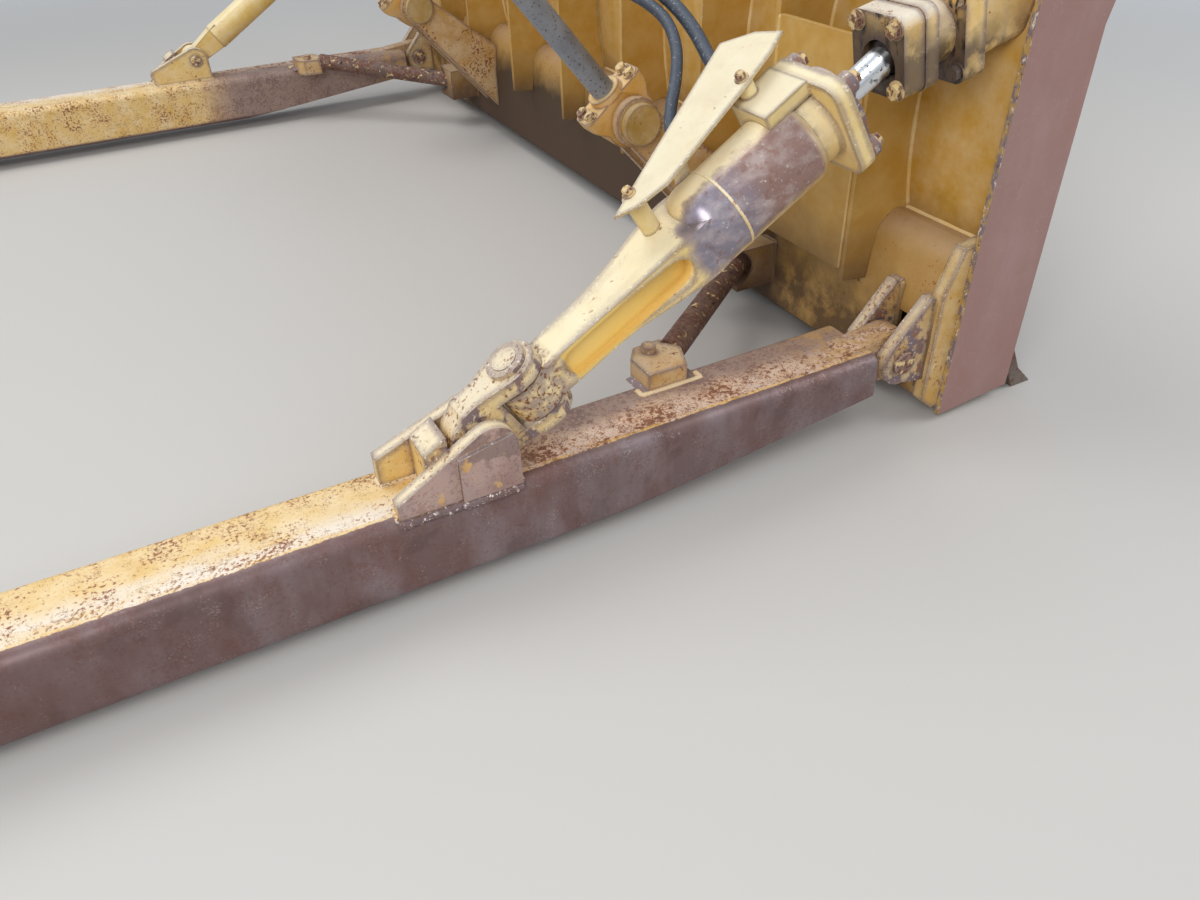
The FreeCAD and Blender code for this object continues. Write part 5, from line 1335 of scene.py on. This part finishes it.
@dataclass
class Blade(Assembly):
    """The blade: skin, beams, ribs, end plates, edges, lugs and ball housings."""

    half: float = 1600.0
    skin_mid_x: float = 3675.0
    skin_mid_z: float = 490.0
    skin_back_rad: float = 944.0
    box_top: float = 283.0
    beam_low: float = 905.0
    rib_offsets: tuple = (0.0, 386.0, 772.0, 1062.0, 1352.0)
    rib_half: float = 8.0
    panel_back: float = 2596.0
    panel_z: tuple = (170.0, 636.0)
    bar_inner: float = -71.0
    box_back: float = 2664.0
    ball: tuple = (2513.0, -15.0, 669.0)
    housing_lean_deg: float = 13.0
    cap_face: float = 44.0

    def skin_line(self, low: float, high: float, count: int = 24) -> Array:
        """Points up the skin's back: forward and up, on its circle."""
        height = np.linspace(low, high, count)
        reach = self.skin_mid_x - np.sqrt(self.skin_back_rad ** 2 - (height - self.skin_mid_z) ** 2)
        return np.stack([reach, height], -1)

    def seams(self) -> list[Surface]:
        """Weld beads on the blade's back, for its right half."""
        line = self.skin_line(self.box_top + 6, self.beam_low)
        out = []
        for offset in self.rib_offsets:
            for side in (-1, 1):
                across = MIDDLE - offset + side * (self.rib_half + 2)
                route = np.insert(line, 1, across, axis=1) - (1.0, 0, 0)
                out.append(bead(route, (-1, side, 0), 5, 4))
        foot = self.skin_line(self.box_top, self.box_top, 1)[0]
        out.append(bead([(foot[0], self.bar_inner, foot[1]), (foot[0], MIDDLE, foot[1])], (-1, 0, 1), 7, 5))
        low, high = self.panel_z
        for across, side in ((141.0, 1), (415.0, -1)):
            out.append(bead([(self.panel_back, across, low), (self.panel_back, across, high)], (-1, side, 0), 5, 3))
        box = [(self.box_back, -40), (self.box_back, 132), (2667, 190), (2684, 238), (2712, 268), (2748, 281)]
        out.append(bead([(x, self.bar_inner + 1, z) for x, z in box], (-1, 1, 0.3), 5, 4))
        for across, side in ((-85.0, -1), (-53.0, 1), (15.0, -1), (47.0, 1)):
            out.append(bead([(self.box_back, across, -14), (self.box_back, across, 176)], (-1, side, 0), 6, 5))
        frame = [(442, -7), (442, 101), (566, 101), (566, -7), (442, -7)]
        out.append(bead([(self.box_back, y, z) for y, z in frame], (-1, 0, 0), 6, 5))
        return out

    def on_cap_bolts(self, middles: Array, normals: Array) -> Array:
        """Faces of the ball caps' bolts, which stand out from the caps' rear faces."""
        lean = math.radians(self.housing_lean_deg)
        off = middles - self.ball
        return off[:, 0] * math.cos(lean) + off[:, 2] * math.sin(lean) < -self.cap_face - 0.6

    def build(self, skin: Material, back: Material, box: Material, ends: Material, bars: Material,
              lugs: Material, edge: Material, housing: Material, pins: Material, bolts: Material,
              weld: Material) -> None:
        """Dresses the blade and lays its seams.

        Args:
            skin: Finish of the mouldboard.
            back: Finish of the ribs, panels and top beam.
            box: Finish of the lower box beam.
            ends: Finish of the end plates.
            bars: Finish of the bars beside the end plates.
            lugs: Finish of the lugs for the arms.
            edge: Finish of the cutting edge and the end bits.
            housing: Finish of the ball housings.
            pins: Finish of the pins.
            bolts: Finish of the ball caps' bolts.
            weld: Finish of the seams.
        """
        self.dress("mouldboard", skin, 1.0)
        self.dress("vertical_ribs", back, 1.2)
        self.dress("rear_panels", back, 1.0)
        self.dress("top_beam", back, 3.0)
        self.dress("lower_box_beam", box, 2.0)
        for name in ("right_end_plate", "left_end_plate"):
            self.dress(name, ends, 1.5)
        self.dress("box_end_bars", bars, 2.0)
        self.dress("push_arm_lugs", lugs, 3.0)
        self.dress("cutting_edge", edge, 1.5)
        self.dress("end_bits", edge, 1.5)
        self.dress("ball_seats", housing, 3.0)
        self.dress("ball_caps", housing, 3.0, ((bolts, self.on_cap_bolts),))
        self.dress("front_pins", pins, 2.0)
        seams = self.seams()
        self.add("blade-seams", "blade", Slot.PAINT, seams + [one.mirrored() for one in seams], weld)


@dataclass
class Studio:
    """Floor, lamps and camera."""

    floor_m: float = -0.1205
    half_m: float = 40.0
    fade_from: float = 2.6
    fade_to: float = 9.0

    def lay_floor(self) -> None:
        """A plain pale floor, which fades into the backdrop's colour far from the part."""
        mesh = bpy.data.meshes.new("floor")
        half = self.half_m
        corners = [(-half, -half, self.floor_m), (half, -half, self.floor_m),
                   (half, half, self.floor_m), (-half, half, self.floor_m)]
        mesh.from_pydata(corners, [], [(0, 1, 2, 3)])
        floor = bpy.data.objects.new("floor", mesh)
        bpy.context.scene.collection.objects.link(floor)
        material = bpy.data.materials.new("matt floor paint")
        material.use_nodes = True
        tree = material.node_tree
        shader = tree.nodes["Principled BSDF"]
        shader.inputs["Base Color"].default_value = linear("#C4C1BD")
        shader.inputs["Roughness"].default_value = 0.85
        off = add_node(tree, "VectorMath", {"operation": "SUBTRACT"}, {
            0: add_node(tree, "TexCoord", out="Object"), 1: (1.4, MIDDLE * MM, 0.0)})
        far = add_node(tree, "VectorMath", {"operation": "LENGTH"}, {0: off}, out="Value")
        fade = add_node(tree, "MapRange", {"interpolation_type": "SMOOTHSTEP"}, {
            "Value": far, "From Min": self.fade_from, "From Max": self.fade_to})
        seen = add_node(tree, "Math", {"operation": "MULTIPLY"}, {
            0: fade, 1: add_node(tree, "LightPath", out="Is Camera Ray")})
        glow = add_node(tree, "Emission", None, {"Color": linear(WORLD_HEX), "Strength": 0.9})
        mixed = add_node(tree, "MixShader", None, {0: seen, 1: shader.outputs[0], 2: glow})
        tree.links.new(mixed, tree.nodes["Material Output"].inputs["Surface"])
        mesh.materials.append(material)

    def hang_lamps(self) -> None:
        """Large soft lamps overhead and to the sides, and a pale world."""
        rows = (
            # place, aim, size in metres, watts
            ((0.6, 2.6, 4.6), (1.9, 0.9, 0.2), 4.0, 125.0),
            ((-1.5, -3.0, 3.4), (1.8, 0.2, 0.2), 3.0, 170.0),
            ((5.5, -1.5, 3.0), (2.3, 0.8, 0.3), 3.0, 70.0),
        )
        for number, (place, aim, size, watts) in enumerate(rows):
            light = bpy.data.lights.new("lamp %d" % number, "AREA")
            light.shape = "DISK"
            light.size = size
            light.energy = watts
            lamp = bpy.data.objects.new("lamp %d" % number, light)
            bpy.context.scene.collection.objects.link(lamp)
            back = (np.array(place) - np.array(aim)) / np.linalg.norm(np.array(place) - np.array(aim))
            side = np.cross((0.0, 0.0, 1.0), back)
            side /= np.linalg.norm(side)
            turn = np.eye(4)
            turn[:3, 0], turn[:3, 1], turn[:3, 2] = side, np.cross(back, side), back
            turn[:3, 3] = place
            lamp.matrix_world = Matrix(turn.tolist())
        world = bpy.data.worlds.new("studio")
        bpy.context.scene.world = world
        world.use_nodes = True
        tree = world.node_tree
        ray = tree.nodes.new("ShaderNodeLightPath")
        seen = add_node(tree, "Math", {"operation": "MAXIMUM"}, {
            0: ray.outputs["Is Camera Ray"], 1: ray.outputs["Is Glossy Ray"]})
        power = add_node(tree, "MapRange", None, {"Value": seen, "To Min": 0.6, "To Max": 0.9})
        back = tree.nodes["Background"]
        back.inputs["Color"].default_value = linear(WORLD_HEX)
        tree.links.new(power, back.inputs["Strength"])

    def set_camera(self) -> None:
        """The camera at the photograph's place, from its rows of right, down and ahead."""
        right = (0.8790313, -0.47603296, -0.02639308)
        down = (-0.30364587, -0.51630785, -0.8007655)
        ahead = (0.36756382, 0.71191209, -0.5983962)
        turn = np.eye(4)
        turn[:3, 0] = right
        turn[:3, 1] = -np.array(down)
        turn[:3, 2] = -np.array(ahead)
        turn[:3, 3] = (1.2805, -1.2463, 1.0690)
        data = bpy.data.cameras.new("camera")
        data.lens = 27.63
        data.sensor_width = 36.0
        data.clip_end = 200.0
        camera = bpy.data.objects.new("camera", data)
        bpy.context.scene.collection.objects.link(camera)
        camera.matrix_world = Matrix(turn.tolist())
        bpy.context.scene.camera = camera


def main() -> None:
    """Builds the part's looks in order."""
    logging.basicConfig(level=logging.INFO, format="%(message)s")
    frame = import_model()
    bpy.context.scene.view_settings.view_transform = "Standard"
    studio = Studio()
    studio.set_camera()
    tilt = TiltFrame(np.array((1.685, -0.015, 0.160)), np.array((2.513, -0.015, 0.669)))
    rubber = HoseRubber("dusty hose rubber with painted sheen").make()
    pins = RustySteel("worn pin steel", "#8C7469", "#D2C6BA", 0.56, 0.66).make()
    bolts = RustySteel("rusty bolt steel", "#7A5641", "#B8A38C", 0.5, 0.66).make()
    enamel = Enamel("chipped enamel").make()
    TiltHoses(frame, tilt).build(rubber, RustySteel("fitting steel", "#6B625C", "#A7A09A", 0.8, 0.56).make())
    PushArms(frame).build(
        ArmSteel("enamelled and rubbed box beam").make(),
        LugSteel("enamelled and rubbed lugs", "#BDA096").make(),
        enamel, pins, WeldMetal("weld metal on the arm").make())
    TiltCylinder(frame, tilt).build(
        BarrelEnamel("pale enamel worn through", tilt).make(),
        Enamel("pale chipped enamel", "#DCC38E", "#E4D6BA", 0.85, freckles=0.645, rim_mm=26.0, knocks=0.4,
               rubbed_out=0.4).make(),
        Enamel("knocked gland enamel", "#DFC587", "#E6D8BC", 0.85, freckles=0.72, rim_mm=30.0, knocks=0.34,
               rubbed_out=0.95).make(),
        Enamel("clean pale enamel", "#DCC47E", "#E4DABC", 0.85, freckles=0.77, rim_mm=14.0, knocks=0.5).make(),
        HardChrome("hard chrome", tilt).make(), bolts,
        Enamel("painted weld", "#D9BE86", "#EFE3C4", 0.8, freckles=0.66, rim_mm=0.0).make(), rubber)
    ScrewBrace(frame, tilt).build(enamel, bolts)
    brace_enamel = Enamel("dirty enamel", "#B78D52", "#BE9B6C", 0.8, freckles=0.64, rim_mm=18.0, knocks=0.4).make()
    DiagonalBraces(frame).build(
        RustySteel("rusty bar steel", "#63524C", "#8A7A76", 0.62, 0.62).make(),
        brace_enamel,
        # Ball housings: soil and painted shade on their lowest parts.
        Enamel("enamel with soil and painted shade low down", "#A87C38", "#A98A58", 0.7, freckles=0.7, soil_and_shade_top=0.12).make())
    LiftCylinders(frame).build(
        Enamel("lift head enamel", "#D09A3C", "#DDB870", 0.7, freckles=0.72, soil_and_shade_top=0.36, soil_and_shade_share=0.7).make(),
        DustyRod("dusty chrome").make(), bolts, enamel, brace_enamel,
        Enamel("olive enamel", "#A0803C", "#AC9050", 0.6, freckles=0.74).make())
    Blade(frame).build(
        ScouredSkin("scoured wear plate").make(),
        Enamel("shaded enamel", "#B98C3A", "#C9A35A", 0.7, "#A87A2B", "#DCC389", 0.81, 6.0, 0.5,
               bare="#A48B62", clouds=0.15, soil_and_shade_top=0.24, dust_share=0.0).make(),
        # Lower box: soil and painted shade low down between the arms.
        BoxEnamel("box enamel under dirt and painted shade", "#B48A42", "#A5835A", 0.85, "#96702F", "#C0A072", 0.68, 0.0,
                  dust_share=0.25).make(),
        EndSteel("rubbed end plate").make(),
        Enamel("bar enamel", "#BE9448", "#CDB680", 0.8, freckles=0.67, rim_mm=20.0, knocks=0.42).make(),
        Enamel("lug enamel", "#B4935A", "#C4B08C", 0.8, freckles=0.64, rim_mm=24.0, knocks=0.36,
               rubbed_out=0.45).make(),
        GroundEdge("ground edge steel").make(),
        HousingEnamel("housing enamel with grease", tilt).make(),
        pins, bolts,
        Enamel("seam enamel", "#CDA85C", "#DDC286", 0.7, freckles=0.76, rim_mm=0.0, soil_and_shade_top=0.22).make())
    studio.lay_floor()
    studio.hang_lamps()


if __name__ == "__main__":
    main()
